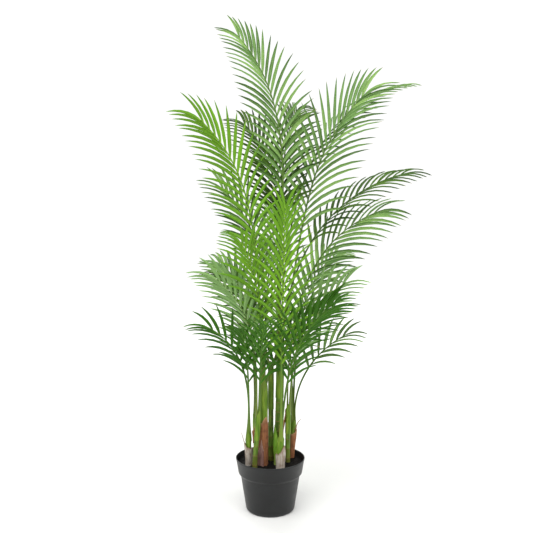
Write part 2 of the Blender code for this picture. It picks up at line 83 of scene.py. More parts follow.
def srgb(colour: str) -> tuple[float, float, float, float]:
    """Turns a hex colour into linear light.

    Args:
        colour: six hex digits, with or without a leading #.

    Returns:
        Linear red, green and blue, and full alpha.
    """
    digits = colour.lstrip("#")
    shares = [int(digits[start : start + 2], 16) / 255 for start in (0, 2, 4)]
    linear = [share / 12.92 if share <= 0.04045 else ((share + 0.055) / 1.055) ** 2.4 for share in shares]
    return (linear[0], linear[1], linear[2], 1.0)


def add_node(
    tree: Tree,
    kind: str,
    settings: dict[str, Any] | None = None,
    inputs: dict[str | int, Any] | None = None,
) -> bpy.types.Node:
    """Adds a node with its settings, its fixed inputs and its links.

    Args:
        tree: the material's or the world's node tree.
        kind: the node's type name.
        settings: the node's own properties. "stops" fills a colour ramp with (place, hex) pairs.
        inputs: by name or number, the socket to link, the hex colour or the plain value of an input.

    Returns:
        The new node.
    """
    node = tree.nodes.new(kind)
    for name, value in (settings or {}).items():
        if name != "stops":
            setattr(node, name, value)
            continue
        ramp = node.color_ramp
        while len(ramp.elements) < len(value):
            ramp.elements.new(0.5)
        for element, (place, colour) in zip(ramp.elements, value):
            element.position = place
            element.color = srgb(colour)
    for name, given in (inputs or {}).items():
        if isinstance(given, Socket):
            tree.links.new(given, node.inputs[name])
        else:
            node.inputs[name].default_value = srgb(given) if isinstance(given, str) else given
    return node


class Bench:
    """The modelling bench: selection, edit mode, modifiers and the last touches of a piece."""

    @staticmethod
    def deselect() -> None:
        """Leaves edit mode and deselects everything."""
        if bpy.context.mode != "OBJECT":
            bpy.ops.object.mode_set(mode="OBJECT")
        bpy.ops.object.select_all(action="DESELECT")

    @staticmethod
    def pick(obj: Object) -> None:
        """Makes one object the only selected one, and the active one."""
        Bench.deselect()
        obj.select_set(True)
        bpy.context.view_layer.objects.active = obj

    @staticmethod
    @contextmanager
    def editing(obj: Object, whole: bool = False) -> Iterator[None]:
        """Edit mode on one object, with the whole mesh selected at its start, or nothing.

        Args:
            obj: the object to edit.
            whole: whether all of it is selected at the start.
        """
        Bench.pick(obj)
        bpy.ops.object.mode_set(mode="EDIT")
        bpy.ops.mesh.select_mode(type="VERT")
        bpy.ops.mesh.select_all(action="SELECT" if whole else "DESELECT")
        yield
        bpy.ops.object.mode_set(mode="OBJECT")

    @staticmethod
    def select(obj: Object, chosen: Callable[[Vector], bool]) -> None:
        """Selects the vertices of the edited mesh that lie where chosen says.

        Args:
            obj: the object in edit mode.
            chosen: tells from a vertex's place whether it is selected.
        """
        shape = bmesh.from_edit_mesh(obj.data)
        for vertex in shape.verts:
            vertex.select_set(chosen(vertex.co))
        shape.select_flush(True)
        shape.select_flush(False)
        bmesh.update_edit_mesh(obj.data)

    @staticmethod
    def extrude(rise: float) -> None:
        """Extrudes what is selected straight up."""
        bpy.ops.mesh.extrude_region_move(TRANSFORM_OT_translate={"value": (0.0, 0.0, rise)})

    @staticmethod
    def widen(growth: float, height: float) -> None:
        """Widens what is selected about the upright axis, at its height."""
        bpy.ops.transform.resize(value=(growth, growth, 1.0), center_override=(0.0, 0.0, height))

    @staticmethod
    def draw_up(radius: float, height: float, rings: list[Range]) -> None:
        """Draws the selected disc up, ring by ring.

        Args:
            radius: the disc's radius.
            height: the disc's height.
            rings: the radius and height of each ring, in order.
        """
        for next_radius, next_height in rings:
            Bench.extrude(next_height - height)
            Bench.widen(next_radius / radius, next_height)
            radius, height = next_radius, next_height

    @staticmethod
    def primitive(name: str, add: Callable[..., Any], **sizes: Any) -> Object:
        """Adds a primitive at its size and place.

        Args:
            name: the object's name.
            add: the operator that adds it.
            **sizes: the operator's settings.

        Returns:
            The object, with its place in its mesh.
        """
        Bench.deselect()
        add(**sizes)
        obj = bpy.context.active_object
        obj.name = name
        obj.data.name = name
        bpy.ops.object.transform_apply(location=True, rotation=True, scale=True)
        return obj

    @staticmethod
    def disc(name: str, sides: int, radius: float = 1.0, height: float = 0.0) -> Object:
        """Adds a disc of one face, the start of a piece that is drawn up.

        Args:
            name: the object's name.
            sides: the number of corners.
            radius: its radius.
            height: its height.

        Returns:
            The disc.
        """
        add = bpy.ops.mesh.primitive_circle_add
        place = (0.0, 0.0, height)
        return Bench.primitive(name, add, vertices=sides, radius=radius, fill_type="NGON", location=place)

    @staticmethod
    def gather(name: str, points: list[np.ndarray], faces: list[tuple[int, ...]]) -> Object:
        """Makes one mesh of many copies.

        Args:
            name: the object's name.
            points: the vertices of each copy.
            faces: the faces of all copies, by the numbers of their vertices.

        Returns:
            The object.
        """
        mesh = bpy.data.meshes.new(name)
        mesh.from_pydata(np.concatenate(points).tolist(), [], faces)
        obj = bpy.data.objects.new(name, mesh)
        bpy.context.scene.collection.objects.link(obj)
        return obj

    @staticmethod
    def modify(obj: Object, kind: str, **settings: Any) -> None:
        """Adds a modifier with its settings, and applies it.

        Args:
            obj: the object.
            kind: the modifier's type.
            **settings: the modifier's settings.
        """
        Bench.pick(obj)
        modifier = obj.modifiers.new(kind.lower(), kind)
        for name, value in settings.items():
            setattr(modifier, name, value)
        bpy.ops.object.modifier_apply(modifier=modifier.name)

    @staticmethod
    def points_of(obj: Object) -> np.ndarray:
        """The mesh's vertices, one row each."""
        flat = np.empty(len(obj.data.vertices) * 3, np.float64)
        obj.data.vertices.foreach_get("co", flat)
        return flat.reshape(-1, 3)

    @staticmethod
    def move_points(obj: Object, points: np.ndarray) -> None:
        """Moves every vertex of the mesh to its row of points."""
        obj.data.vertices.foreach_set("co", np.asarray(points, np.float32).reshape(-1))
        obj.data.update()

    @staticmethod
    def write_attribute(obj: Object, name: str, values: np.ndarray | float) -> None:
        """Writes a number per vertex, or one for them all, under a name that a finish reads.

        Args:
            obj: the object.
            name: the attribute's name.
            values: one number for each vertex, or one for them all.
        """
        attribute = obj.data.attributes.get(name) or obj.data.attributes.new(name, "FLOAT", "POINT")
        rows = np.broadcast_to(np.asarray(values, np.float32), len(obj.data.vertices))
        attribute.data.foreach_set("value", np.ascontiguousarray(rows))

    @staticmethod
    def write_chart(obj: Object, rows: np.ndarray) -> None:
        """Writes the leaf map, one row for each corner of each face."""
        layer = obj.data.uv_layers.get(LEAF_MAP) or obj.data.uv_layers.new(name=LEAF_MAP)
        layer.data.foreach_set("uv", rows.astype(np.float32).reshape(-1))

    @staticmethod
    def join(pieces: list[Object], name: str) -> Object:
        """Joins meshes into the first of them, which takes the name.

        Args:
            pieces: the objects to join.
            name: the name of the result.

        Returns:
            The joined object.
        """
        Bench.pick(pieces[0])
        for piece in pieces[1:]:
            piece.select_set(True)
        if len(pieces) > 1:
            bpy.ops.object.join()
        joined = bpy.context.active_object
        joined.name = name
        joined.data.name = name
        return joined

    @staticmethod
    def copy_of(obj: Object, name: str) -> Object:
        """A copy of an object with a mesh of its own.

        Args:
            obj: the object to copy.
            name: the copy's name.

        Returns:
            The copy.
        """
        copied = obj.copy()
        copied.data = obj.data.copy()
        copied.name = name
        copied.data.name = name
        bpy.context.scene.collection.objects.link(copied)
        return copied

    @staticmethod
    def merged_copy(node: Object) -> Object:
        """A copy of a frame node, free of its body, with its loose triangles merged.

        Args:
            node: the frame's object, which is left as it is.

        Returns:
            The copy, to be read and removed.
        """
        copied = Bench.copy_of(node, node.name + "_reading")
        copied.parent = None
        for key in list(copied.keys()):
            del copied[key]
        with Bench.editing(copied, whole=True):
            bpy.ops.mesh.remove_doubles(threshold=1e-5)
        return copied

    @staticmethod
    def remove(obj: Object) -> None:
        """Removes an object and its mesh."""
        mesh = obj.data
        bpy.data.objects.remove(obj, do_unlink=True)
        bpy.data.meshes.remove(mesh)

    @staticmethod
    def face_outwards(obj: Object) -> None:
        """Merges doubles and turns the faces of a closed mesh outwards."""
        with Bench.editing(obj, whole=True):
            bpy.ops.mesh.remove_doubles(threshold=HAIR)
            bpy.ops.mesh.normals_make_consistent(inside=False)

    @staticmethod
    def flip(obj: Object) -> None:
        """Turns every face of a sheet round."""
        with Bench.editing(obj, whole=True):
            bpy.ops.mesh.flip_normals()

    @staticmethod
    def smooth(obj: Object, degrees: float) -> None:
        """Shades smoothly over edges that bend less than the angle."""
        Bench.pick(obj)
        bpy.ops.object.shade_smooth_by_angle(angle=math.radians(degrees))

    @staticmethod
    def dress(obj: Object, *finishes: Finish) -> None:
        """Gives a mesh its finishes, in slot order.

        Args:
            obj: the object.
            *finishes: its finishes.
        """
        obj.data.materials.clear()
        for finish in finishes:
            obj.data.materials.append(finish.material())

    @staticmethod
    def hand_over(obj: Object, slot: str, *nodes: str) -> None:
        """Makes a finished piece ride on the body and stand for its frame nodes.

        Args:
            obj: the finished piece.
            slot: the record's material slot; not used.
            *nodes: the frame nodes that it stands for.
        """
        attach(obj, BODY)
        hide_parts(*nodes)
        LOG.info("%s: %d faces, stands for %s", obj.name, len(obj.data.polygons), ", ".join(nodes))


class Finish:
    """The base of every finish: it makes its material once, and holds the steps that finishes share.

    Each finish is a frozen dataclass that fills in the values below.
    """

    name: str
    gloss: float  # the shader's specular level
    roughness: Range  # where the surface is smoothest, and where it is dullest
    relief: float  # height of the fine relief, in metres

    def material(self) -> bpy.types.Material:
        """The finish's material, made on first use.

        Returns:
            The material.
        """
        made = bpy.data.materials.get(self.name)
        if not made:
            made = bpy.data.materials.new(self.name)
            made.use_nodes = True
            made.node_tree.nodes.clear()
            self.build(made.node_tree)
        return made

    def build(self, tree: Tree) -> None:
        """Fills the node tree."""
        raise NotImplementedError

    @staticmethod
    def grain(
        tree: Tree, size_mm: tuple[float, float, float], detail: float, where: Socket, fineness: float = 0.5
    ) -> Socket:
        """Draws a grain whose patches are as large as given.

        Args:
            tree: the material's nodes.
            size_mm: the size of a patch along each axis, in millimetres.
            detail: how many finer layers it has.
            where: the coordinates.
            fineness: how strong the finer layers are.

        Returns:
            The grain, from 0 to 1.
        """
        scale = tuple(1000.0 / size for size in size_mm)
        placed = add_node(tree, "ShaderNodeMapping", None, {"Vector": where, "Scale": scale}).outputs[0]
        inputs = {"Vector": placed, "Scale": 1.0, "Detail": detail, "Roughness": fineness}
        return add_node(tree, "ShaderNodeTexNoise", None, inputs).outputs[0]

    @staticmethod
    def coat(
        tree: Tree,
        under: Socket | str,
        over: str,
        pattern: Socket,
        reach: Range = (0.0, 1.0),
        cover: Range = (0.0, 1.0),
        within: Socket | None = None,
    ) -> Socket:
        """Lays a colour over another where a pattern says.

        Args:
            tree: the material's nodes.
            under: the colour below, a socket or a hex colour.
            over: the hex colour that is laid on.
            pattern: the socket that says where.
            reach: the pattern's values between which the coat comes or goes.
            cover: how much of the coat shows at each of the two values.
            within: a socket from 0 to 1 that holds the coat back further.

        Returns:
            The socket of the coated colour.
        """
        inputs = {"Value": pattern, "From Min": reach[0], "From Max": reach[1]}
        inputs |= {"To Min": cover[0], "To Max": cover[1]}
        share = add_node(tree, "ShaderNodeMapRange", None, inputs).outputs["Result"]
        if within is not None:
            terms = {0: share, 1: within}
            share = add_node(tree, "ShaderNodeMath", {"operation": "MULTIPLY"}, terms).outputs[0]
        inputs = {0: share, 6: under, 7: over}  # an RGBA mix keeps its colours in sockets 6 and 7
        return add_node(tree, "ShaderNodeMix", {"data_type": "RGBA"}, inputs).outputs[2]

    def close(
        self,
        tree: Tree,
        colour: Socket,
        height: Socket,
        dullness: Socket | None = None,
        reach: Range = (0.3, 0.7),
        duller: Socket | None = None,
    ) -> None:
        """Ends the finish in its shader.

        Args:
            tree: the material's nodes.
            colour: the socket of the base colour.
            height: the socket of the relief.
            dullness: the pattern that the roughness follows, or none where it is even.
            reach: the pattern's values between which the roughness changes.
            duller: a socket that is added to the roughness.
        """
        rough: Socket | float = self.roughness[0]
        if dullness is not None:
            inputs = {"Value": dullness, "From Min": reach[0], "From Max": reach[1]}
            inputs |= {"To Min": self.roughness[0], "To Max": self.roughness[1]}
            rough = add_node(tree, "ShaderNodeMapRange", None, inputs).outputs["Result"]
        if duller is not None:
            rough = add_node(tree, "ShaderNodeMath", {"operation": "ADD"}, {0: rough, 1: duller}).outputs[0]
        inputs = {"Distance": self.relief, "Strength": 1.0, "Height": height}
        bump = add_node(tree, "ShaderNodeBump", None, inputs)
        inputs = {"Base Color": colour, "Roughness": rough, "Normal": bump.outputs["Normal"]}
        inputs["Specular IOR Level"] = self.gloss
        shader = add_node(tree, "ShaderNodeBsdfPrincipled", None, inputs)
        add_node(tree, "ShaderNodeOutputMaterial", None, {"Surface": shader.outputs["BSDF"]})


@dataclass(frozen=True)
class MouldedPolypropylene(Finish):
    """Injection-moulded polypropylene, black with a little grey in it.

    The mould's fine matt texture scatters the light, so only the curved sides take a soft pale sheen.
    A nursery pot shows handling dust round its step and foot, and lighter rubs on its rim.
    """

    name: str = "polypropylene_moulded_matt"
    body: str = "#090A0B"
    dusty: str = "#1B1E20"
    rub: str = "#45494B"
    gloss: float = 0.42
    roughness: Range = (0.38, 0.50)
    relief: float = 0.00006
    texture_mm: float = 0.9  # spark texture, really 0.2 mm, drawn coarser so that it shows
    rim_height: float = 0.155
    rim_rub: float = 0.0016  # how far down the rim its rub reaches
    foot_rub: float = 0.012  # how far up the foot its rub reaches

    def build(self, tree: Tree) -> None:
        """Fills the node tree."""
        where = add_node(tree, "ShaderNodeTexCoord").outputs["Object"]
        height = add_node(tree, "ShaderNodeSeparateXYZ", None, {0: where}).outputs["Z"]
        cloud = self.grain(tree, (34.0, 34.0, 22.0), 3.0, where)
        streak = self.grain(tree, (9.0, 9.0, 70.0), 2.0, where)
        fine = self.grain(tree, (self.texture_mm,) * 3, 2.0, where)
        colour = self.coat(tree, self.body, self.dusty, cloud, (0.45, 0.75), (0.0, 0.45))
        colour = self.coat(tree, colour, self.dusty, streak, (0.55, 0.8), (0.0, 0.22))
        ends = {"Value": height, "From Min": self.rim_height - self.rim_rub, "From Max": self.rim_height}
        near_rim = add_node(tree, "ShaderNodeMapRange", None, ends).outputs["Result"]
        colour = self.coat(tree, colour, self.rub, cloud, (0.4, 0.7), (0.15, 0.7), within=near_rim)
        colour = self.coat(tree, colour, self.rub, height, (0.0, self.foot_rub), (0.55, 0.0), within=cloud)
        self.close(tree, colour, fine, cloud)


@dataclass(frozen=True)
class DampPeat(Finish):
    """Damp peat with bark crumbs: nearly black where wet, brown on the drier crumbs, never shiny."""

    name: str = "peat_damp_crumbled"
    wet: str = "#050505"
    dark: str = "#0C0B09"
    dry: str = "#221B15"
    chip: str = "#46372A"
    gloss: float = 0.12
    roughness: Range = (0.72, 0.95)
    relief: float = 0.0012
    crumb_mm: float = 3.2
    puddle_mm: float = 28.0  # size of the wetter patches

    def build(self, tree: Tree) -> None:
        """Fills the node tree."""
        where = add_node(tree, "ShaderNodeTexCoord").outputs["Object"]
        crumbs = self.grain(tree, (self.crumb_mm,) * 3, 5.0, where, 0.65)
        damp = self.grain(tree, (self.puddle_mm,) * 3, 2.0, where)
        wear = add_node(tree, "ShaderNodeAttribute", {"attribute_name": WEAR}).outputs["Fac"]
        stops = [(0.34, self.wet), (0.5, self.dark), (0.72, self.dry)]
        colour = add_node(tree, "ShaderNodeValToRGB", {"stops": stops}, {0: crumbs}).outputs[0]
        colour = self.coat(tree, colour, self.wet, damp, (0.4, 0.65), (0.0, 0.6))
        colour = self.coat(tree, colour, self.chip, crumbs, (0.3, 0.7), within=wear)
        self.close(tree, colour, crumbs, damp, (0.4, 0.7))


@dataclass(frozen=True)
class GreenCaneSkin(Finish):
    """The living skin of a slim palm cane: smooth and a little waxy, with lengthwise fibres.

    It is yellow-green, browner at the foot and along the thin scar that each old leaf has left.
    """

    name: str = "cane_skin_waxy_green"
    skin: str = "#4C6A18"
    pale: str = "#7C983A"
    deep: str = "#2C440C"
    scar: str = "#6E5A33"
    foot: str = "#6C642E"
    gloss: float = 0.25
    roughness: Range = (0.36, 0.5)
    relief: float = 0.0003
    soil_height: float = 0.138
    brown_foot: float = 0.05  # how far up the cane its foot is browner
    fibre_mm: float = 0.7  # fibres are finer than 0.2 mm, drawn coarser so that they show

    def build(self, tree: Tree) -> None:
        """Fills the node tree."""
        where = add_node(tree, "ShaderNodeTexCoord").outputs["Object"]
        height = add_node(tree, "ShaderNodeSeparateXYZ", None, {0: where}).outputs["Z"]
        patches = self.grain(tree, (9.0, 9.0, 46.0), 2.0, where)
        fibres = self.grain(tree, (self.fibre_mm, self.fibre_mm, 40.0), 2.0, where)
        streaks = self.grain(tree, (2.6, 2.6, 75.0), 3.0, where)
        wear = add_node(tree, "ShaderNodeAttribute", {"attribute_name": WEAR}).outputs["Fac"]
        colour = self.coat(tree, self.skin, self.pale, patches, (0.4, 0.75))
        colour = self.coat(tree, colour, self.deep, streaks, (0.48, 0.66), (0.0, 0.75))
        colour = self.coat(tree, colour, self.deep, fibres, (0.45, 0.75), (0.0, 0.5))
        brown = (self.soil_height, self.soil_height + self.brown_foot)
        colour = self.coat(tree, colour, self.foot, height, brown, (0.75, 0.0))
        colour = self.coat(tree, colour, self.scar, wear)
        self.close(tree, colour, fibres, patches)


LEAF_BASE_SKIN = GreenCaneSkin(
    "leaf_base_skin_fresh_green", skin="#587C14", pale="#869E34", deep="#34520C", foot="#667C22"
)
SHOOT_SKIN = GreenCaneSkin(
    "shoot_skin_fresh_green", skin="#5A8418", pale="#7CA032", deep="#365C10", foot="#7E8A48"
)


@dataclass(frozen=True)
class DryPalmFibre(Finish):
    """A dead leaf sheath, dried on the cane: papery, matt, and ribbed by its lengthwise fibres."""

    name: str
    main: str
    dark: str
    light: str
    edge: str
    gloss: float = 0.5
    roughness: Range = (0.7, 0.9)
    relief: float = 0.0006
    band_relief: float = 0.8  # height of the broad bands, as a share of the fibres' height
    fibre_mm: float = 0.9

    def build(self, tree: Tree) -> None:
        """Fills the node tree."""
        where = add_node(tree, "ShaderNodeTexCoord").outputs["Object"]
        fibres = self.grain(tree, (self.fibre_mm, self.fibre_mm, 32.0), 3.0, where, 0.6)
        bands = self.grain(tree, (5.0, 5.0, 60.0), 2.0, where)
        blotch = self.grain(tree, (11.0, 11.0, 17.0), 4.0, where, 0.62)
        wear = add_node(tree, "ShaderNodeAttribute", {"attribute_name": WEAR}).outputs["Fac"]
        colour = self.coat(tree, self.main, self.light, bands, (0.35, 0.66))
        colour = self.coat(tree, colour, self.dark, blotch, (0.5, 0.72), (0.0, 0.8))
        colour = self.coat(tree, colour, self.dark, fibres, (0.5, 0.75), (0.0, 0.6))
        colour = self.coat(tree, colour, self.edge, wear, cover=(0.0, 0.8))
        terms = {0: bands, 1: self.band_relief, 2: fibres}
        ribs = add_node(tree, "ShaderNodeMath", {"operation": "MULTIPLY_ADD"}, terms).outputs[0]
        self.close(tree, colour, ribs, blotch)


@dataclass(frozen=True)
class LeafBlade(Finish):
    """The blade of a palm leaflet: a smooth skin over parallel veins, with a pale rib down its middle.

    The upper side has a soft wax gloss. The underside is paler and duller, and the very tip is dry.
    The leaf map's first number runs across the blade, with 1 added on the underside, and its second
    number runs from root to tip. The tint attribute makes a whole leaflet younger or older.
    """

    name: str
    upper: str
    fresh: str
    deep: str
    under: str
    rib: str
    tip: str = "#A58F4E"
    gloss: float = 0.2
    roughness: Range = (0.42, 0.54)
    relief: float = 0.00025
    under_dullness: float = 0.15  # how much rougher the underside is
    veins: float = 9.0  # veins lie 0.5 mm apart, drawn at 1.3 mm so that they show
    vein_relief: float = 0.175  # height of a vein, as a share of the rib's height
    patch_mm: float = 38.0
    mottle_mm: float = 4.0

    def build(self, tree: Tree) -> None:
        """Fills the node tree."""
        where = add_node(tree, "ShaderNodeTexCoord").outputs["Object"]
        chart = add_node(tree, "ShaderNodeUVMap", {"uv_map": LEAF_MAP}).outputs[0]
        parts = add_node(tree, "ShaderNodeSeparateXYZ", None, {0: chart}).outputs
        tint = add_node(tree, "ShaderNodeAttribute", {"attribute_name": TINT}).outputs["Fac"]
        patches = self.grain(tree, (self.patch_mm,) * 3, 2.0, where)
        mottle = self.grain(tree, (self.mottle_mm,) * 3, 3.0, where)

        across = add_node(tree, "ShaderNodeMath", {"operation": "FRACT"}, {0: parts["X"]}).outputs[0]
        terms = {0: parts["X"], 1: 1.0}
        beneath = add_node(tree, "ShaderNodeMath", {"operation": "GREATER_THAN"}, terms).outputs[0]
        aside = add_node(tree, "ShaderNodeMath", {"operation": "SUBTRACT"}, {0: across, 1: 0.5}).outputs[0]
        off_rib = add_node(tree, "ShaderNodeMath", {"operation": "ABSOLUTE"}, {0: aside}).outputs[0]
        ends = {"Value": off_rib, "From Min": 0.02, "From Max": 0.09, "To Min": 1.0, "To Max": 0.0}
        rib = add_node(tree, "ShaderNodeMapRange", None, ends).outputs["Result"]
        terms = {0: across, 1: math.tau * self.veins}
        phase = add_node(tree, "ShaderNodeMath", {"operation": "MULTIPLY"}, terms).outputs[0]
        wave = add_node(tree, "ShaderNodeMath", {"operation": "SINE"}, {0: phase}).outputs[0]
        ends = {"Value": patches, "From Min": 0.3, "From Max": 0.7, "To Min": -0.25, "To Max": 0.25}
        terms = {0: add_node(tree, "ShaderNodeMapRange", None, ends).outputs["Result"], 1: tint}
        young = add_node(tree, "ShaderNodeMath", {"operation": "ADD"}, terms).outputs[0]
        terms = {0: tint, 1: 0.02, 2: parts["Y"]}
        dryness = add_node(tree, "ShaderNodeMath", {"operation": "MULTIPLY_ADD"}, terms).outputs[0]
        colour = self.coat(tree, self.upper, self.fresh, young, (0.0, 0.8))
        colour = self.coat(tree, colour, self.deep, young, (0.0, -0.8))
        colour = self.coat(tree, colour, self.deep, mottle, (0.45, 0.75), (0.0, 0.35))
        colour = self.coat(tree, colour, self.deep, wave, (-1.0, 1.0), (0.0, 0.22))
        colour = self.coat(tree, colour, self.rib, rib, cover=(0.0, 0.65))
        colour = self.coat(tree, colour, self.under, beneath, cover=(0.0, 0.8))
        colour = self.coat(tree, colour, self.rib, parts["Y"], (0.0, 0.12), (0.55, 0.0))
        colour = self.coat(tree, colour, self.tip, dryness, (0.955, 0.995))
        terms = {0: wave, 1: self.vein_relief, 2: rib}
        height = add_node(tree, "ShaderNodeMath", {"operation": "MULTIPLY_ADD"}, terms).outputs[0]
        terms = {0: beneath, 1: self.under_dullness}
        duller = add_node(tree, "ShaderNodeMath", {"operation": "MULTIPLY"}, terms).outputs[0]
        self.close(tree, colour, height, mottle, duller=duller)


@dataclass(frozen=True)
class LeafStalk(Finish):
    """The stalk of a frond: firm, smooth and waxy, yellower at its foot and greener along the blade.

    Its lines follow the leaf map, which is a unit round the stalk and a unit from foot to tip.
    """

    name: str
    foot: str
    middle: str
    upper: str
    line: str
    gloss: float = 0.3
    roughness: Range = (0.36, 0.48)
    relief: float = 0.0002

    def build(self, tree: Tree) -> None:
        """Fills the node tree."""
        where = add_node(tree, "ShaderNodeTexCoord").outputs["Object"]
        chart = add_node(tree, "ShaderNodeUVMap", {"uv_map": LEAF_MAP}).outputs[0]
        along = add_node(tree, "ShaderNodeSeparateXYZ", None, {0: chart}).outputs["Y"]
        lines = self.grain(tree, (90.0, 9000.0, 1000.0), 2.0, chart)
        patches = self.grain(tree, (22.0, 22.0, 60.0), 2.0, where)
        stops = [(0.0, self.foot), (0.35, self.middle), (1.0, self.upper)]
        colour = add_node(tree, "ShaderNodeValToRGB", {"stops": stops}, {0: along}).outputs[0]
        colour = self.coat(tree, colour, self.line, lines, (0.45, 0.75), (0.0, 0.4))
        colour = self.coat(tree, colour, self.foot, patches, (0.5, 0.75), (0.0, 0.4))
        self.close(tree, colour, lines, patches)


@dataclass(frozen=True)
class WhiteStudioPaper(Finish):
    """Seamless studio paper: plain, matt and very pale."""

    name: str = "studio_paper_white"
    sheet: str = "#DDDDDB"
    fibre: str = "#D8D8D6"
    gloss: float = 0.5
    roughness: Range = (0.9, 0.9)
    relief: float = 0.0001
    fibre_mm: float = 3.0

    def build(self, tree: Tree) -> None:
        """Fills the node tree."""
        where = add_node(tree, "ShaderNodeTexCoord").outputs["Object"]
        fibres = self.grain(tree, (self.fibre_mm,) * 3, 2.0, where)
        colour = self.coat(tree, self.sheet, self.fibre, fibres)
        self.close(tree, colour, fibres)


class FrondTone(Enum):
    """The four looks of a leaf in the clump, by the frame's own material names. SHADE is painted shade for
    the fronds that lie in shade. LUSH is a deep green that is partly the leaves' own colour and partly
    painted shade, for the low fronds under the others.
    """

    BRIGHT = "frond_bright"
    MATURE = "frond_mature"
    SHADE = "frond_shade"
    LUSH = "frond_lush"

    @property
    def blade(self) -> LeafBlade:
        """The finish of this tone's leaflets."""
        return LEAF_BLADES[self]

    @property
    def stalk(self) -> LeafStalk:
        """The finish of this tone's stalk."""
        return LEAF_STALKS[self]


LEAF_BLADES = {
    FrondTone.BRIGHT: LeafBlade(
        "leaf_blade_young", upper="#5A9A0A", fresh="#8CCC10", deep="#2A5406", under="#6A9C24", rib="#92BC38"
    ),
    FrondTone.MATURE: LeafBlade(
        "leaf_blade_mature", upper="#6E9650", fresh="#90B662", deep="#426628", under="#84AA66", rib="#9CB478"
    ),
    FrondTone.SHADE: LeafBlade(
        "leaf_blade_shaded", upper="#3C5E16", fresh="#527620", deep="#223E0A", under="#4A6828", rib="#66803A"
    ),
    # partly the leaves' own deep green, partly painted shade: darker for the low fronds that the others shade
    FrondTone.LUSH: LeafBlade(
        "leaf_blade_lush_painted_shade", upper="#2A580A", fresh="#4E8A0C", deep="#102C04", under="#34640E", rib="#4E7C1C"
    ),
}

LEAF_STALKS = {
    FrondTone.BRIGHT: LeafStalk("leaf_stalk_young", "#6C8228", "#4E761C", "#568A18", "#385810"),
    FrondTone.MATURE: LeafStalk("leaf_stalk_mature", "#667628", "#4A6A20", "#4C7428", "#324C12"),
    FrondTone.SHADE: LeafStalk("leaf_stalk_shaded", "#506420", "#385618", "#36581C", "#263E0E"),
    # partly the stalks' own green, partly painted shade, like the lush blades above
    FrondTone.LUSH: LeafStalk("leaf_stalk_lush_painted_shade", "#5C7422", "#426618", "#3E6A14", "#2C4A0C"),
}


class SheathTone(Enum):
    """The three colours that a leaf sheath dries to, by the frame's own material names."""

    BROWN = "sheath_brown"
    PURPLE = "sheath_purple"
    PALE = "sheath_pale"

    @property
    def fibre(self) -> DryPalmFibre:
        """The finish of this tone."""
        return DRY_FIBRES[self]


DRY_FIBRES = {
    SheathTone.BROWN: DryPalmFibre("palm_fibre_red_brown", "#7E4C2C", "#4E2C1A", "#9A643C", "#B08A64"),
    SheathTone.PURPLE: DryPalmFibre("palm_fibre_plum_brown", "#7A5248", "#523630", "#96746A", "#B79C8C"),
    SheathTone.PALE: DryPalmFibre("palm_fibre_bleached", "#9C8F80", "#6A4C34", "#BFB8AE", "#7A5638"),
}


def smooth_path(points: np.ndarray, places: np.ndarray, wanted: np.ndarray) -> np.ndarray:
    """A smooth curve through points.

    Args:
        points: the points, one row each.
        places: how far along the curve each point is, rising.
        wanted: the places to read the curve at.

    Returns:
        One row for each wanted place.
    """
    slopes = np.gradient(points, places, axis=0)
    span_of = np.clip(np.searchsorted(places, wanted, side="right") - 1, 0, len(places) - 2)
    start, end = places[span_of], places[span_of + 1]
    width = (end - start)[:, None]
    share = ((wanted - start) / (end - start))[:, None]
    cube, square = share**3, share**2
    return (
        (2 * cube - 3 * square + 1) * points[span_of]
        + (cube - 2 * square + share) * width * slopes[span_of]
        + (3 * square - 2 * cube) * points[span_of + 1]
        + (cube - square) * width * slopes[span_of + 1]
    )


def unit(rows: np.ndarray) -> np.ndarray:
    """Each row scaled to length one."""
    return rows / np.maximum(np.linalg.norm(rows, axis=-1, keepdims=True), 1e-12)


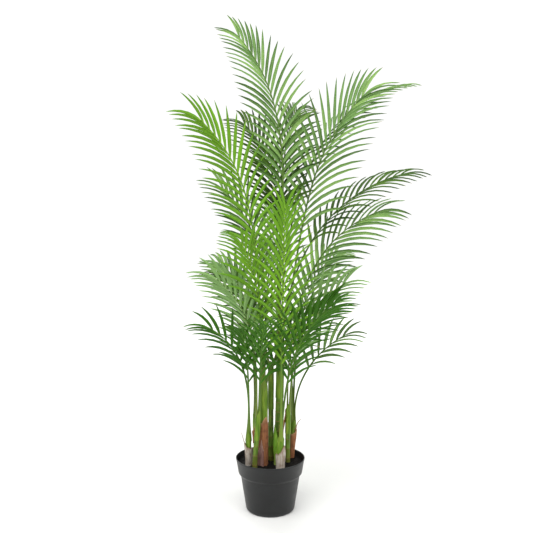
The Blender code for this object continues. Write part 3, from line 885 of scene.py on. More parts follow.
@dataclass
class NurseryPot:
    """The plastic pot: a tapered body, a step, a tall band with a rolled lip, and drain holes."""

    node: str = "pot"
    sides: int = 96
    band_height: float = 0.043
    band_taper: float = 0.0075
    step: float = 0.007
    body_taper: float = 0.016
    foot_round: float = 0.008
    wall: float = 0.0025
    floor: float = 0.003
    drain_radius: float = 0.005
    drain_count: int = 6
    drain_ring: float = 0.62
    foot_turns: tuple[float, ...] = (15.0, 35.0, 55.0, 75.0, 90.0)
    lip_turns: tuple[float, ...] = (0.0, 45.0, 90.0, 135.0, 180.0)
    finish: MouldedPolypropylene = MouldedPolypropylene()

    def corners(self) -> tuple[Range, Range, Range, float]:
        """The rim, the band's foot and the body's top, as (radius, height), and the foot's radius.

        Returns:
            The three corners, and the foot's radius.
        """
        low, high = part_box(self.node)
        rim = (high.x - low.x) / 2
        band_foot, band_z = rim - self.band_taper, high.z - self.band_height
        body_top, body_z = band_foot - self.step, band_z - self.step
        return (rim, high.z), (band_foot, band_z), (body_top, body_z), body_top - self.body_taper

    def section(self) -> list[Range]:
        """The pot's section.

        Returns:
            (radius, height) from the underside, up the outside, over the lip and down to the inner floor.
        """
        (rim, top), (band_foot, band_z), (body_top, body_z), foot = self.corners()
        flat = foot - self.foot_round
        outside = []
        for turn in self.foot_turns:
            swing = math.radians(turn)
            radius = flat + self.foot_round * math.sin(swing)
            outside.append((radius, self.foot_round * (1.0 - math.cos(swing))))
        outside += [
            # the step, with its edges softened
            (body_top - 0.0004, body_z - 0.0030),
            (body_top + 0.0006, body_z + 0.0002),
            (body_top + self.step * 0.5, body_z + self.step * 0.45),
            (band_foot - 0.0007, band_z - 0.0010),
            (band_foot, band_z + 0.0012),
            # the small ledge under the lip
            (rim - 0.0014, top - 0.0062),
            (rim - 0.0005, top - 0.0050),
        ]
        lip = self.wall / 2
        for turn in self.lip_turns:
            swing = math.radians(turn)
            outside.append((rim - lip + lip * math.cos(swing), top - lip + lip * math.sin(swing)))
        inside = [
            (band_foot - self.wall, band_z),
            (body_top - self.wall, body_z),
            (foot - self.wall, self.foot_round + 0.001),
            (foot - self.wall - 0.0025, self.floor + 0.0015),
            (flat, self.floor),
        ]
        return outside + inside

    def hollow(self, room: float) -> list[Range]:
        """The outline of what fills the pot.

        Args:
            room: the clearance to the wall.

        Returns:
            (radius, height) from the inner floor up to the foot of the band.
        """
        _, (band_foot, band_z), (body_top, body_z), foot = self.corners()
        return [
            (foot - self.wall - 0.0035 - room, self.floor + 0.0016),
            (foot - self.wall - room, self.foot_round + 0.002),
            (body_top - self.wall - room, body_z),
            (band_foot - self.wall - room, band_z),
        ]

    def shell(self) -> Object:
        """Draws the wall up from the foot, ring by ring.

        Returns:
            The closed shell.
        """
        section = self.section()
        radius = section[0][0] - self.foot_round * math.sin(math.radians(self.foot_turns[0])) * 0.98
        obj = Bench.disc("nursery_pot", self.sides, radius)
        with Bench.editing(obj, whole=True):
            Bench.draw_up(radius, 0.0, section)
        Bench.face_outwards(obj)
        return obj

    def drill(self, obj: Object) -> None:
        """Cuts the drain holes through the floor.

        Args:
            obj: the pot's shell.
        """
        away = self.corners()[3] * self.drain_ring
        drills = []
        for number in range(self.drain_count):
            swing = math.tau * number / self.drain_count
            drills.append(
                Bench.primitive(
                    "drill",
                    bpy.ops.mesh.primitive_cylinder_add,
                    vertices=24,
                    radius=self.drain_radius,
                    depth=self.floor * 4,
                    location=(math.cos(swing) * away, math.sin(swing) * away, self.floor / 2),
                )
            )
        drill = Bench.join(drills, "drain_drill")
        Bench.modify(obj, "BOOLEAN", operation="DIFFERENCE", solver="EXACT", object=drill)
        Bench.remove(drill)

    def build(self) -> Object:
        """Models and dresses the pot.

        Returns:
            The finished piece.
        """
        obj = self.shell()
        self.drill(obj)
        Bench.smooth(obj, 32.0)
        Bench.dress(obj, self.finish)
        Bench.hand_over(obj, "pot_plastic", self.node)
        return obj


@dataclass
class PeatBed:
    """The peat in the pot: an uneven crumbled top, loose crumbs and a few chips of bark."""

    node: str = "soil"
    sides: int = 96
    ring_step: float = 0.0042
    unevenness: float = 0.0022
    calm_edge: float = 0.006  # the bed is smoother this near to the pot's wall
    crumbs: int = 230
    chip_share: float = 0.16
    seed: int = 11
    lumps: tuple[Range, ...] = ((38.0, 1.1), (150.0, 0.8), (420.0, 0.35))  # waves per metre, strength
    crumb_size: Range = (0.9, 2.6)
    crumb_tilt: float = 0.5
    chip_shape: tuple[float, float, float] = (2.6, 0.8, 0.4)
    rim_room: float = 0.009  # how far the crumbs stay from the bed's edge
    finish: DampPeat = DampPeat()

    def bed(self, hollow: list[Range]) -> Object:
        """Models the body of the peat and roughens its top.

        Args:
            hollow: the outline of the pot's inside, as (radius, height).

        Returns:
            The bed.
        """
        low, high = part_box(self.node)
        radius = (high.x - low.x) / 2 - 0.0003
        obj = Bench.disc("peat_bed", self.sides, *hollow[0])
        with Bench.editing(obj, whole=True):
            Bench.draw_up(*hollow[0], [*hollow[1:], (radius, high.z)])
            for _ in range(int(radius / self.ring_step) - 2):
                bpy.ops.mesh.inset(thickness=self.ring_step, depth=0.0)
        Bench.face_outwards(obj)
        Bench.move_points(obj, self.lifted(Bench.points_of(obj), high.z, radius))
        return obj

    def lifted(self, points: np.ndarray, level: float, radius: float) -> np.ndarray:
        """Roughens the top surface.

        Args:
            points: the bed's vertices.
            level: the height of the calm surface.
            radius: the bed's radius.

        Returns:
            The vertices, with those on top raised and sunk.
        """
        moved = points.copy()
        for index in np.flatnonzero(points[:, 2] > level - 1e-4):
            spot = Vector(points[index])
            calm = min(1.0, (radius - math.hypot(spot.x, spot.y)) / self.calm_edge)
            lump = sum(sculpt_noise.noise(spot * waves) * strength for waves, strength in self.lumps)
            moved[index, 2] += self.unevenness * lump * (0.25 + 0.75 * calm)
        return moved

    def crumb(self) -> Object:
        """Models one crumb, a knocked-about ball of peat.

        Returns:
            The crumb, a millimetre across its radius.
        """
        ball = bpy.ops.mesh.primitive_ico_sphere_add
        obj = Bench.primitive("peat_crumb", ball, subdivisions=1, radius=0.001)
        with Bench.editing(obj, whole=True):
            bpy.ops.transform.resize(value=(1.15, 0.9, 0.7))
            Bench.select(obj, lambda spot: spot.x > 0.0006)
            bpy.ops.transform.translate(value=(0.0001, 0.0002, 0.0001))
        return obj

    def scatter(self, level: float, radius: float) -> Object:
        """Scatters copies of the crumb over the bed.

        Args:
            level: the height of the surface.
            radius: the bed's radius.

        Returns:
            All crumbs as one mesh.
        """
        crumb = self.crumb()
        shape = Bench.points_of(crumb)
        faces = [tuple(face.vertices) for face in crumb.data.polygons]
        Bench.remove(crumb)
        chance = np.random.default_rng(self.seed)
        points, all_faces, wear = [], [], []
        for _ in range(self.crumbs):
            chip = chance.random() < self.chip_share
            size = chance.uniform(*self.crumb_size)
            stretch = np.array(self.chip_shape) if chip else chance.uniform(0.8, 1.3, 3)
            swing = chance.uniform(0.0, math.tau)
            tilt = chance.uniform(-self.crumb_tilt, self.crumb_tilt)
            turned = shape * stretch * size @ np.array(Matrix.Rotation(tilt, 3, "Y")).T
            turned = turned @ np.array(Matrix.Rotation(swing, 3, "Z")).T
            away = (radius - self.rim_room) * math.sqrt(chance.random())
            bearing = chance.uniform(0.0, math.tau)
            turned += (away * math.cos(bearing), away * math.sin(bearing), level + 0.0002 * size)
            start = len(points) * len(shape)
            points.append(turned)
            all_faces += [tuple(start + corner for corner in face) for face in faces]
            wear.append(np.full(len(shape), chance.uniform(0.5, 1.0) if chip else chance.uniform(0.0, 0.25)))
        obj = Bench.gather("peat_crumbs", points, all_faces)
        Bench.write_attribute(obj, WEAR, np.concatenate(wear))
        return obj

    def build(self, hollow: list[Range]) -> Object:
        """Models and dresses the peat.

        Args:
            hollow: the outline of the pot's inside, as (radius, height).

        Returns:
            The finished piece.
        """
        low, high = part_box(self.node)
        bed = self.bed(hollow)
        Bench.write_attribute(bed, WEAR, 0.0)
        crumbs = self.scatter(high.z, (high.x - low.x) / 2)
        obj = Bench.join([bed, crumbs], "peat_bed")
        Bench.smooth(obj, 50.0)
        Bench.dress(obj, self.finish)
        Bench.hand_over(obj, "peat_soil", self.node)
        return obj


@dataclass
class CaneReading:
    """A cane of the frame, read as rings from its foot to its crown."""

    heights: np.ndarray
    centres: np.ndarray
    radii: np.ndarray

    @classmethod
    def of(cls, node: Object) -> CaneReading:
        """Reads a cane's rings from its node.

        Args:
            node: the frame's object.

        Returns:
            The reading.
        """
        points = np.unique(np.round(Bench.points_of(node), 6), axis=0)
        levels = np.unique(np.round(points[:, 2], 4))
        centres, radii = [], []
        for level in levels:
            ring = points[np.abs(points[:, 2] - level) < 2e-4][:, :2]
            centres.append(ring.mean(axis=0))
            radii.append(np.linalg.norm(ring - ring.mean(axis=0), axis=1).mean())
        return cls(levels, np.array(centres), np.array(radii))

    def centre(self, height: np.ndarray) -> np.ndarray:
        """The axis at each height, as rows of x and y."""
        return np.stack([np.interp(height, self.heights, self.centres[:, axis]) for axis in (0, 1)], axis=-1)

    def radius(self, height: np.ndarray) -> np.ndarray:
        """The radius at each height."""
        return np.interp(height, self.heights, self.radii)


@dataclass
class WrappedSheath:
    """One leaf sheath wrapped round a cane. Heights are in metres over the peat, angles in degrees."""

    cane: str
    facing: float  # where its middle faces, from +X towards +Y
    wrap: float  # how far round the cane it reaches
    start: float  # height of its foot
    shoulder: float  # height of its two sides
    top: float  # height of its tip
    peak: float  # where the tip stands, from -1 at one side to 1 at the other
    flare: float  # how far its upper edge leans off the cane
    off: float = 0.0008  # clearance to the cane
    ragged: float = 0.0035  # depth of the tears in its upper edge
    curl: float = 0.0022  # how far its sides roll off the cane
    ribbing: float = 0.00025  # height of its lengthwise ribs
    waviness: float = 0.0006
    thickness: float = 0.0009
    columns: int = 26
    rows: int = 18
    notes: int = 41  # how many tears and ribs are drawn across it
    seed: int = 3

    def model(self, name: str, reading: CaneReading, soil: float) -> Object:
        """Models the sheath from a flat grid that is wrapped round its cane.

        Args:
            name: the object's name.
            reading: the cane's rings.
            soil: the height of the peat.

        Returns:
            The sheath, a closed thin shell.
        """
        obj = Bench.primitive(
            name,
            bpy.ops.mesh.primitive_grid_add,
            x_subdivisions=self.columns,
            y_subdivisions=self.rows,
            size=1.0,
            location=(0.0, 0.5, 0.0),
        )
        flat = Bench.points_of(obj)
        across, up = flat[:, 0] * 2.0, flat[:, 1]
        chance = np.random.default_rng(self.seed)
        edge = np.linspace(-1.0, 1.0, self.notes)
        tears = np.interp(across, edge, chance.uniform(-1.0, 1.0, self.notes))
        nearness = np.clip(1.0 - np.abs(across - self.peak) / 0.9, 0.0, 1.0)
        reach = self.shoulder + (self.top - self.shoulder) * nearness**1.6 + self.ragged * tears
        height = soil + self.start + (reach - self.start) * up
        ribs = np.interp(across, edge, chance.uniform(-self.ribbing, self.ribbing, self.notes))
        wave = self.waviness * np.sin(up * 7.0 + across * 3.0 + self.seed)
        lifted = self.flare * up**2 + self.curl * np.abs(across) ** 5 * (0.4 + 0.6 * up) + ribs + wave * up
        away = reading.radius(height) + self.off + lifted
        swing = np.radians(self.facing + across * self.wrap / 2)
        outward = np.column_stack([np.cos(swing), np.sin(swing)])
        Bench.move_points(obj, np.column_stack([reading.centre(height) + outward * away[:, None], height]))
        Bench.write_attribute(obj, WEAR, np.clip((up - 0.86) / 0.14, 0.0, 1.0) ** 2)
        self.turn_outwards(obj, reading)
        Bench.modify(obj, "SOLIDIFY", thickness=self.thickness, offset=1.0)
        Bench.smooth(obj, 40.0)
        return obj

    @staticmethod
    def turn_outwards(obj: Object, reading: CaneReading) -> None:
        """Flips the sheet if it faces its own cane.

        Args:
            obj: the sheath, still one face thick.
            reading: the cane's rings.
        """
        face = obj.data.polygons[len(obj.data.polygons) // 2]
        centre = reading.centre(np.array([face.center.z]))[0]
        outward = (face.center.x - centre[0]) * face.normal.x + (face.center.y - centre[1]) * face.normal.y
        if outward < 0.0:
            Bench.flip(obj)


@dataclass
class FibreHook:
    """A dry strand that curls off the tip of a sheath, through points given in metres."""

    route: tuple[tuple[float, float, float], ...]
    root_radius: float = 0.0026
    tip_radius: float = 0.0009
    sides: int = 7
    steps: int = 10

    def model(self, name: str) -> Object:
        """Models the strand from a tube that is drawn along its route.

        Args:
            name: the object's name.

        Returns:
            The strand.
        """
        obj = Bench.disc(name, self.sides)
        with Bench.editing(obj, whole=True):
            for _ in range(self.steps):
                Bench.extrude(1.0)
        Bench.face_outwards(obj)
        flat = Bench.points_of(obj)
        route = np.array(self.route)
        share = flat[:, 2] / self.steps
        places = np.linspace(0.0, 1.0, len(route))
        centre = smooth_path(route, places, share)
        ahead = smooth_path(route, places, np.clip(share + 0.02, 0.0, 1.0))
        behind = smooth_path(route, places, np.clip(share - 0.02, 0.0, 1.0))
        along = unit(ahead - behind)
        side = unit(np.cross(along, (0.0, -1.0, 0.0)))
        above = np.cross(side, along)
        thick = (self.root_radius + (self.tip_radius - self.root_radius) * share)[:, None]
        Bench.move_points(obj, centre + (side * flat[:, :1] * 0.7 + above * flat[:, 1:2] * 1.2) * thick)
        Bench.face_outwards(obj)
        Bench.write_attribute(obj, WEAR, share * 0.8)
        Bench.smooth(obj, 60.0)
        return obj


@dataclass
class Canes:
    """The slim green canes, each with its scars and the green leaf base that wraps its crown."""

    names: tuple[str, ...]
    sides: int = 16
    internode: float = 0.030
    leaf_base_share: float = 0.45
    rings: tuple[Range, ...] = ((0.035, 1.045), (0.075, 1.02), (0.12, 0.985), (0.55, 0.99))  # scar and waist
    foot_swell: float = 0.05
    crown_room: float = 0.003  # the domed end rises this much over the last ring
    finish: GreenCaneSkin = GreenCaneSkin()
    leaf_base: GreenCaneSkin = LEAF_BASE_SKIN
    readings: dict[str, CaneReading] = field(default_factory=dict)

    def read(self, nodes: dict[str, Object]) -> None:
        """Reads the rings of every cane."""
        for name in self.names:
            self.readings[name] = CaneReading.of(nodes["cane_" + name])

    def joint(self) -> Object:
        """Models one internode, a unit long and a unit in radius, with the scar at its foot.

        Returns:
            The internode, open at both ends.
        """
        obj = Bench.primitive(
            "internode",
            bpy.ops.mesh.primitive_cylinder_add,
            vertices=self.sides,
            radius=1.0,
            depth=1.0,
            end_fill_type="NOTHING",
            location=(0.0, 0.0, 0.5),
        )
        with Bench.editing(obj):
            for height, _ in self.rings:
                bpy.ops.mesh.select_all(action="SELECT")
                bpy.ops.mesh.bisect(plane_co=(0.0, 0.0, height), plane_no=(0.0, 0.0, 1.0))
            for height, growth in self.rings:
                Bench.select(obj, lambda spot, level=height: abs(spot.z - level) < 1e-4)
                Bench.widen(growth, height)
        return obj

    def cane(self, name: str, joint: Object) -> Object:
        """Stacks internodes, closes the ends and bends the stack along its cane.

        Args:
            name: the cane's name.
            joint: the master internode.

        Returns:
            The cane.
        """
        reading = self.readings[name]
        bottom, top = float(reading.heights[0]), float(reading.heights[-1])
        count = max(3, round((top - bottom) / self.internode))
        obj = Bench.copy_of(joint, "palm_cane_" + name)
        stack = {"use_relative_offset": False, "use_constant_offset": True, "use_merge_vertices": True}
        rise = (0.0, 0.0, 1.0)
        Bench.modify(obj, "ARRAY", count=count, constant_offset_displace=rise, merge_threshold=0.01, **stack)
        with Bench.editing(obj):
            Bench.select(obj, lambda spot: spot.z > count - 1e-3)
            bpy.ops.mesh.edge_face_add()
            bpy.ops.mesh.inset(thickness=0.25, depth=0.0)
            bpy.ops.transform.translate(value=(0.0, 0.0, 0.08))
            bpy.ops.mesh.inset(thickness=0.35, depth=0.0)
            bpy.ops.transform.translate(value=(0.0, 0.0, 0.03))
            Bench.select(obj, lambda spot: spot.z < 1e-3)
            bpy.ops.mesh.edge_face_add()
        Bench.face_outwards(obj)
        flat = Bench.points_of(obj)
        height = bottom + (top - self.crown_room - bottom) * flat[:, 2] / count
        centre = reading.centre(np.minimum(height, top))
        swell = 1.0 + self.foot_swell * np.exp(-(((height - bottom - 0.03) / 0.02) ** 2))
        away = reading.radius(np.minimum(height, top)) * swell
        Bench.move_points(obj, np.column_stack([centre + flat[:, :2] * away[:, None], height]))
        phase = flat[:, 2] % 1.0
        scarred = np.where((phase > 0.01) & (phase < 0.1), 1.0, 0.0)
        worn = scarred * np.clip(1.25 - (height - bottom) / (top - bottom), 0.0, 1.0)
        Bench.write_attribute(obj, WEAR, worn)
        Bench.smooth(obj, 38.0)
        return obj

    def build(self, soil: float) -> list[Object]:
        """Models and dresses every cane.

        Args:
            soil: the height of the peat.

        Returns:
            The finished pieces.
        """
        joint = self.joint()
        built = []
        for number, name in enumerate(self.names):
            reading = self.readings[name]
            tall = float(reading.heights[-1]) - soil
            base = WrappedSheath(
                cane=name,
                facing=-80.0 + 25.0 * math.sin(number * 2.1),
                wrap=318.0,
                start=tall * (1.0 - self.leaf_base_share),
                shoulder=tall - 0.004,
                top=tall + 0.022,
                peak=0.1 * math.sin(number * 1.7),
                flare=0.0006,
                off=0.0003,
                ragged=0.0008,
                curl=0.0006,
                thickness=0.0008,
                columns=22,
                rows=8,
                seed=number,
            )
            cane = self.cane(name, joint)
            wrap = base.model("leaf_base", reading, soil)
            Bench.write_attribute(wrap, WEAR, 0.0)
            Bench.dress(cane, self.finish)
            Bench.dress(wrap, self.leaf_base)
            obj = Bench.join([cane, wrap], "palm_cane_" + name)
            Bench.hand_over(obj, "cane_green", "cane_" + name)
            built.append(obj)
        Bench.remove(joint)
        return built


@dataclass
class GreenShoot:
    """The young shoot: a folded spear that swells above its foot and narrows to a point."""

    node: str = "shoot_front"
    sides: int = 14
    shares: tuple[float, ...] = (0.16, 0.26, 0.36, 0.48, 0.6, 0.72, 0.83, 0.92, 0.975, 1.0)
    widths: tuple[float, ...] = (1.0, 1.06, 1.22, 1.55, 1.5, 1.22, 0.85, 0.48, 0.22, 0.05)
    bow: float = 0.0025
    finish: GreenCaneSkin = SHOOT_SKIN

    def spear(self, reading: CaneReading) -> Object:
        """Models the spear from a disc that is drawn up and narrowed.

        Args:
            reading: the shoot's rings.

        Returns:
            The spear.
        """
        obj = Bench.disc("palm_shoot_front", self.sides)
        with Bench.editing(obj, whole=True):
            Bench.draw_up(1.0, 0.0, list(zip(self.widths, self.shares)))
        Bench.face_outwards(obj)
        flat = Bench.points_of(obj)
        bottom, top = float(reading.heights[0]), float(reading.heights[-1])
        level = bottom + (top - bottom) * flat[:, 2]
        crease = 1.0 - 0.22 * np.exp(-((np.arctan2(flat[:, 1], flat[:, 0]) + math.pi / 2) ** 2) / 0.08)
        spread = flat[:, :2] * float(reading.radii[0]) * crease[:, None] * (1.0, 0.8)
        spread[:, 0] += self.bow * np.sin(flat[:, 2] * math.pi)
        Bench.move_points(obj, np.column_stack([reading.centre(level) + spread, level]))
        Bench.write_attribute(obj, WEAR, 0.0)
        Bench.smooth(obj, 55.0)
        return obj

    def build(self, nodes: dict[str, Object]) -> Object:
        """Models and dresses the shoot.

        Args:
            nodes: the frame's objects.

        Returns:
            The finished piece.
        """
        obj = self.spear(CaneReading.of(nodes[self.node]))
        Bench.dress(obj, self.finish)
        Bench.hand_over(obj, "cane_green", self.node)
        return obj


@dataclass
class DrySheaths:
    """The dry brown, plum and bleached sheaths round the feet of the canes."""

    sheaths: dict[str, WrappedSheath]
    hooks: dict[str, FibreHook]

    def build(
        self, nodes: dict[str, Object], readings: dict[str, CaneReading], soil: float
    ) -> list[Object]:
        """Models and dresses every sheath.

        Args:
            nodes: the frame's objects.
            readings: the canes' rings.
            soil: the height of the peat.

        Returns:
            The finished pieces.
        """
        built = []
        for name, sheath in self.sheaths.items():
            node = "sheath_" + name
            tone = SheathTone(nodes[node].data.materials[0].name.split(".")[0])
            parts = [sheath.model("dry_sheath_" + name, readings[sheath.cane], soil)]
            if name in self.hooks:
                parts.append(self.hooks[name].model("fibre_hook"))
            obj = Bench.join(parts, "dry_sheath_" + name)
            Bench.dress(obj, tone.fibre)
            Bench.hand_over(obj, tone.value, node)
            built.append(obj)
        return built


def keel_last(corners: np.ndarray) -> tuple[int, int, int]:
    """The order of a three-cornered ring: its two outer corners, which lie furthest apart, and its keel."""
    orders = ((0, 1, 2), (0, 2, 1), (1, 2, 0))
    return max(orders, key=lambda order: float(np.linalg.norm(corners[order[0]] - corners[order[1]])))


@dataclass
class LeafletReading:
    """A leaflet of the frame: its root, middle and tip, and which way it lies."""

    root: np.ndarray
    middle: np.ndarray
    tip: np.ndarray
    across: np.ndarray
    facing: np.ndarray
    width: float


@dataclass
class FrondReading:
    """A frond of the frame: the rings of its stalk from the crown to its tip, and its leaflets."""

    centres: np.ndarray
    sides: np.ndarray
    aboves: np.ndarray
    halves: np.ndarray
    leaflets: list[LeafletReading]

    SHORTEST: ClassVar[float] = 0.010  # a leaflet's tip lies further than this from its middle

    @classmethod
    def of(cls, node: Object) -> FrondReading:
        """Reads a frond from its node.

        Args:
            node: the frame's object.

        Returns:
            The reading.
        """
        copied = Bench.merged_copy(node)
        points = Bench.points_of(copied)
        around: list[set[int]] = [set() for _ in points]
        for edge in copied.data.edges:
            first, second = edge.vertices
            around[first].add(second)
            around[second].add(first)
        Bench.remove(copied)
        leaflets, used = [], set()
        for tip, near_tip in enumerate(around):
            if len(near_tip) != 3:
                continue
            trio = sorted(near_tip)
            joined = all(other in around[one] for one in trio for other in trio if other != one)
            if not joined or np.linalg.norm(points[trio] - points[tip], axis=1).min() < cls.SHORTEST:
                continue
            used.update(trio, {tip})
            leaflets.append(cls.leaflet(points, around, tip, trio))
        return cls(*cls.rings(points, around, used), leaflets)

    @staticmethod
    def leaflet(points: np.ndarray, around: list[set[int]], tip: int, trio: list[int]) -> LeafletReading:
        """Reads one leaflet from its tip and the three corners of its middle.

        Args:
            points: the frond's vertices.
            around: the neighbours of each vertex.
            tip: the vertex at the leaflet's tip.
            trio: the three vertices round its middle.

        Returns:
            The reading.
        """
        near, far, keel = (trio[place] for place in keel_last(points[trio]))
        feet = sorted(set().union(*(around[corner] for corner in trio)) - set(trio) - {tip})
        across = points[far] - points[near]
        middle = points[near] + across / 2
        return LeafletReading(
            root=points[feet].mean(axis=0),
            middle=middle,
            tip=points[tip],
            across=unit(across),
            facing=unit(middle - points[keel]),
            width=float(np.linalg.norm(across)),
        )

    @staticmethod
    def rings(
        points: np.ndarray, around: list[set[int]], used: set[int]
    ) -> tuple[np.ndarray, np.ndarray, np.ndarray, np.ndarray]:
        """Walks up the stalk, three corners at a time.

        Args:
            points: the frond's vertices.
            around: the neighbours of each vertex.
            used: the vertices that belong to leaflets.

        Returns:
            The rings' centres, sideways directions, upward directions and half-widths.
        """
        left = [index for index in range(len(points)) if index not in used]
        layer = sorted(left, key=lambda index: points[index][2])[:3]
        seen: set[int] = set()
        centres, sides, aboves, halves = [], [], [], []
        while layer:
            seen.update(layer)
            if len(layer) == 3:
                corners = points[layer]
                one, two, keel = keel_last(corners)
                centre = (corners[one] + corners[two]) / 2
                side = unit(corners[one] - corners[two])
                if sides and float(side @ sides[-1]) < 0.0:
                    side = -side
                centres.append(centre)
                sides.append(side)
                aboves.append(unit(centre - corners[keel]))
                halves.append(float(np.linalg.norm(corners[one] - corners[two])) / 2)
            layer = sorted(set().union(*(around[index] for index in layer)) - seen - used)
        return np.array(centres), np.array(sides), np.array(aboves), np.array(halves)


@dataclass
class LeafletPattern:
    """One leaflet, modelled flat and then laid along the path of each real one."""

    length: float = 0.150
    width: float = 0.0115
    slimness: float = 0.92  # the visible blade's width, as a share of its frame's
    fold: float = 0.0026  # depth of the crease
    thickness: float = 0.00035
    sunk: float = 0.0015  # how deep its root sits in the midrib
    twists: Range = (0.16, 0.30)  # chance twist of the whole blade, and more towards its tip
    drift: float = 0.022  # chance bend sideways, as a share of its length
    sag: float = 0.020  # chance bend down, as a share of its length
    widths: Range = (0.92, 1.1)  # chance width, as a share of its own
    stations: tuple[Range, ...] = (
        (0.0, 0.34),
        (0.07, 0.62),
        (0.2, 0.95),
        (0.38, 1.0),
        (0.58, 0.88),
        (0.77, 0.62),
        (0.91, 0.30),
        (1.0, 0.0),
    )
    share: np.ndarray = field(init=False)
    offset: np.ndarray = field(init=False)
    height: np.ndarray = field(init=False)
    chart: np.ndarray = field(init=False)
    faces: list[tuple[int, ...]] = field(init=False)

    def model(self) -> None:
        """Models the leaflet and keeps its vertices, faces and chart."""
        obj = Bench.primitive("leaflet", bpy.ops.mesh.primitive_plane_add, size=1.0, location=(0.0, 0.5, 0.0))
        with Bench.editing(obj, whole=True):
            bpy.ops.transform.resize(value=(self.width, self.length, 1.0), center_override=ORIGIN)
            bpy.ops.mesh.bisect(plane_co=ORIGIN, plane_no=(1.0, 0.0, 0.0))
            for share, _ in self.stations[1:-1]:
                bpy.ops.mesh.select_all(action="SELECT")
                bpy.ops.mesh.bisect(plane_co=(0.0, share * self.length, 0.0), plane_no=(0.0, 1.0, 0.0))
            for share, wide in self.stations:
                level = share * self.length
                Bench.select(obj, lambda spot, row=level: abs(spot.y - row) < 1e-5)
                if wide:
                    bpy.ops.transform.resize(value=(wide, 1.0, 1.0), center_override=(0.0, level, 0.0))
                else:
                    bpy.ops.mesh.merge(type="CENTER")
            Bench.select(obj, lambda spot: abs(spot.x) < HAIR and spot.y < 0.97 * self.length)
            bpy.ops.transform.translate(value=(0.0, 0.0, -self.fold))
        aside = Bench.points_of(obj)[:, 0]
        Bench.write_attribute(obj, SIDE, np.where(np.abs(aside) < HAIR, 0.0, np.sign(aside)))
        if obj.data.polygons[0].normal.z < 0.0:
            Bench.flip(obj)
        Bench.modify(obj, "SOLIDIFY", thickness=self.thickness, offset=-1.0)
        self.take_measure(obj)
        Bench.remove(obj)

    def take_measure(self, obj: Object) -> None:
        """Keeps what the copies need from the modelled leaflet.

        Args:
            obj: the modelled leaflet.
        """
        points = Bench.points_of(obj)
        sides = np.empty(len(points), np.float32)
        obj.data.attributes[SIDE].data.foreach_get("value", sides)
        self.share = np.clip(points[:, 1] / self.length, 0.0, 1.0)
        self.offset = points[:, 0] / (self.width / 2)
        self.height = points[:, 2]
        self.faces = [tuple(face.vertices) for face in obj.data.polygons]
        chart = []
        for face in obj.data.polygons:
            start = 1.5 if face.normal.z < -0.3 else 0.5
            chart += [(start + 0.5 * sides[corner], self.share[corner]) for corner in face.vertices]
        self.chart = np.array(chart)

    def lay(self, leaflet: LeafletReading, chance: np.random.Generator) -> np.ndarray:
        """Bends a copy of the pattern along one leaflet.

        Args:
            leaflet: the leaflet's reading.
            chance: the frond's seeded random numbers.

        Returns:
            The copy's vertices.
        """
        share = self.share[:, None]
        control = 2.0 * leaflet.middle - (leaflet.root + leaflet.tip) / 2
        root = leaflet.root - unit(control - leaflet.root) * self.sunk
        rest = 1.0 - share
        path = rest**2 * root + 2.0 * rest * share * control + share**2 * leaflet.tip
        along = unit(2.0 * rest * (control - root) + 2.0 * share * (leaflet.tip - control))
        across = leaflet.across
        if float(np.cross(across, along[len(along) // 2]) @ leaflet.facing) < 0.0:
            across = -across
        across = unit(across - along * (along @ across)[:, None])
        above = np.cross(across, along)
        whole, tipwards = (chance.normal(0.0, spread) for spread in self.twists)
        twist = whole + tipwards * share**2
        turned = across * np.cos(twist) + above * np.sin(twist)
        raised = above * np.cos(twist) - across * np.sin(twist)
        length = float(np.linalg.norm(leaflet.tip - leaflet.root))
        drift = chance.normal(0.0, self.drift) * length * share**2
        sag = abs(chance.normal(0.0, self.sag)) * length * share**3
        path = path + turned * drift - np.array([0.0, 0.0, 1.0]) * sag
        wide = leaflet.width * self.slimness * chance.uniform(*self.widths) / 2
        return path + turned * (self.offset[:, None] * wide) + raised * self.height[:, None]


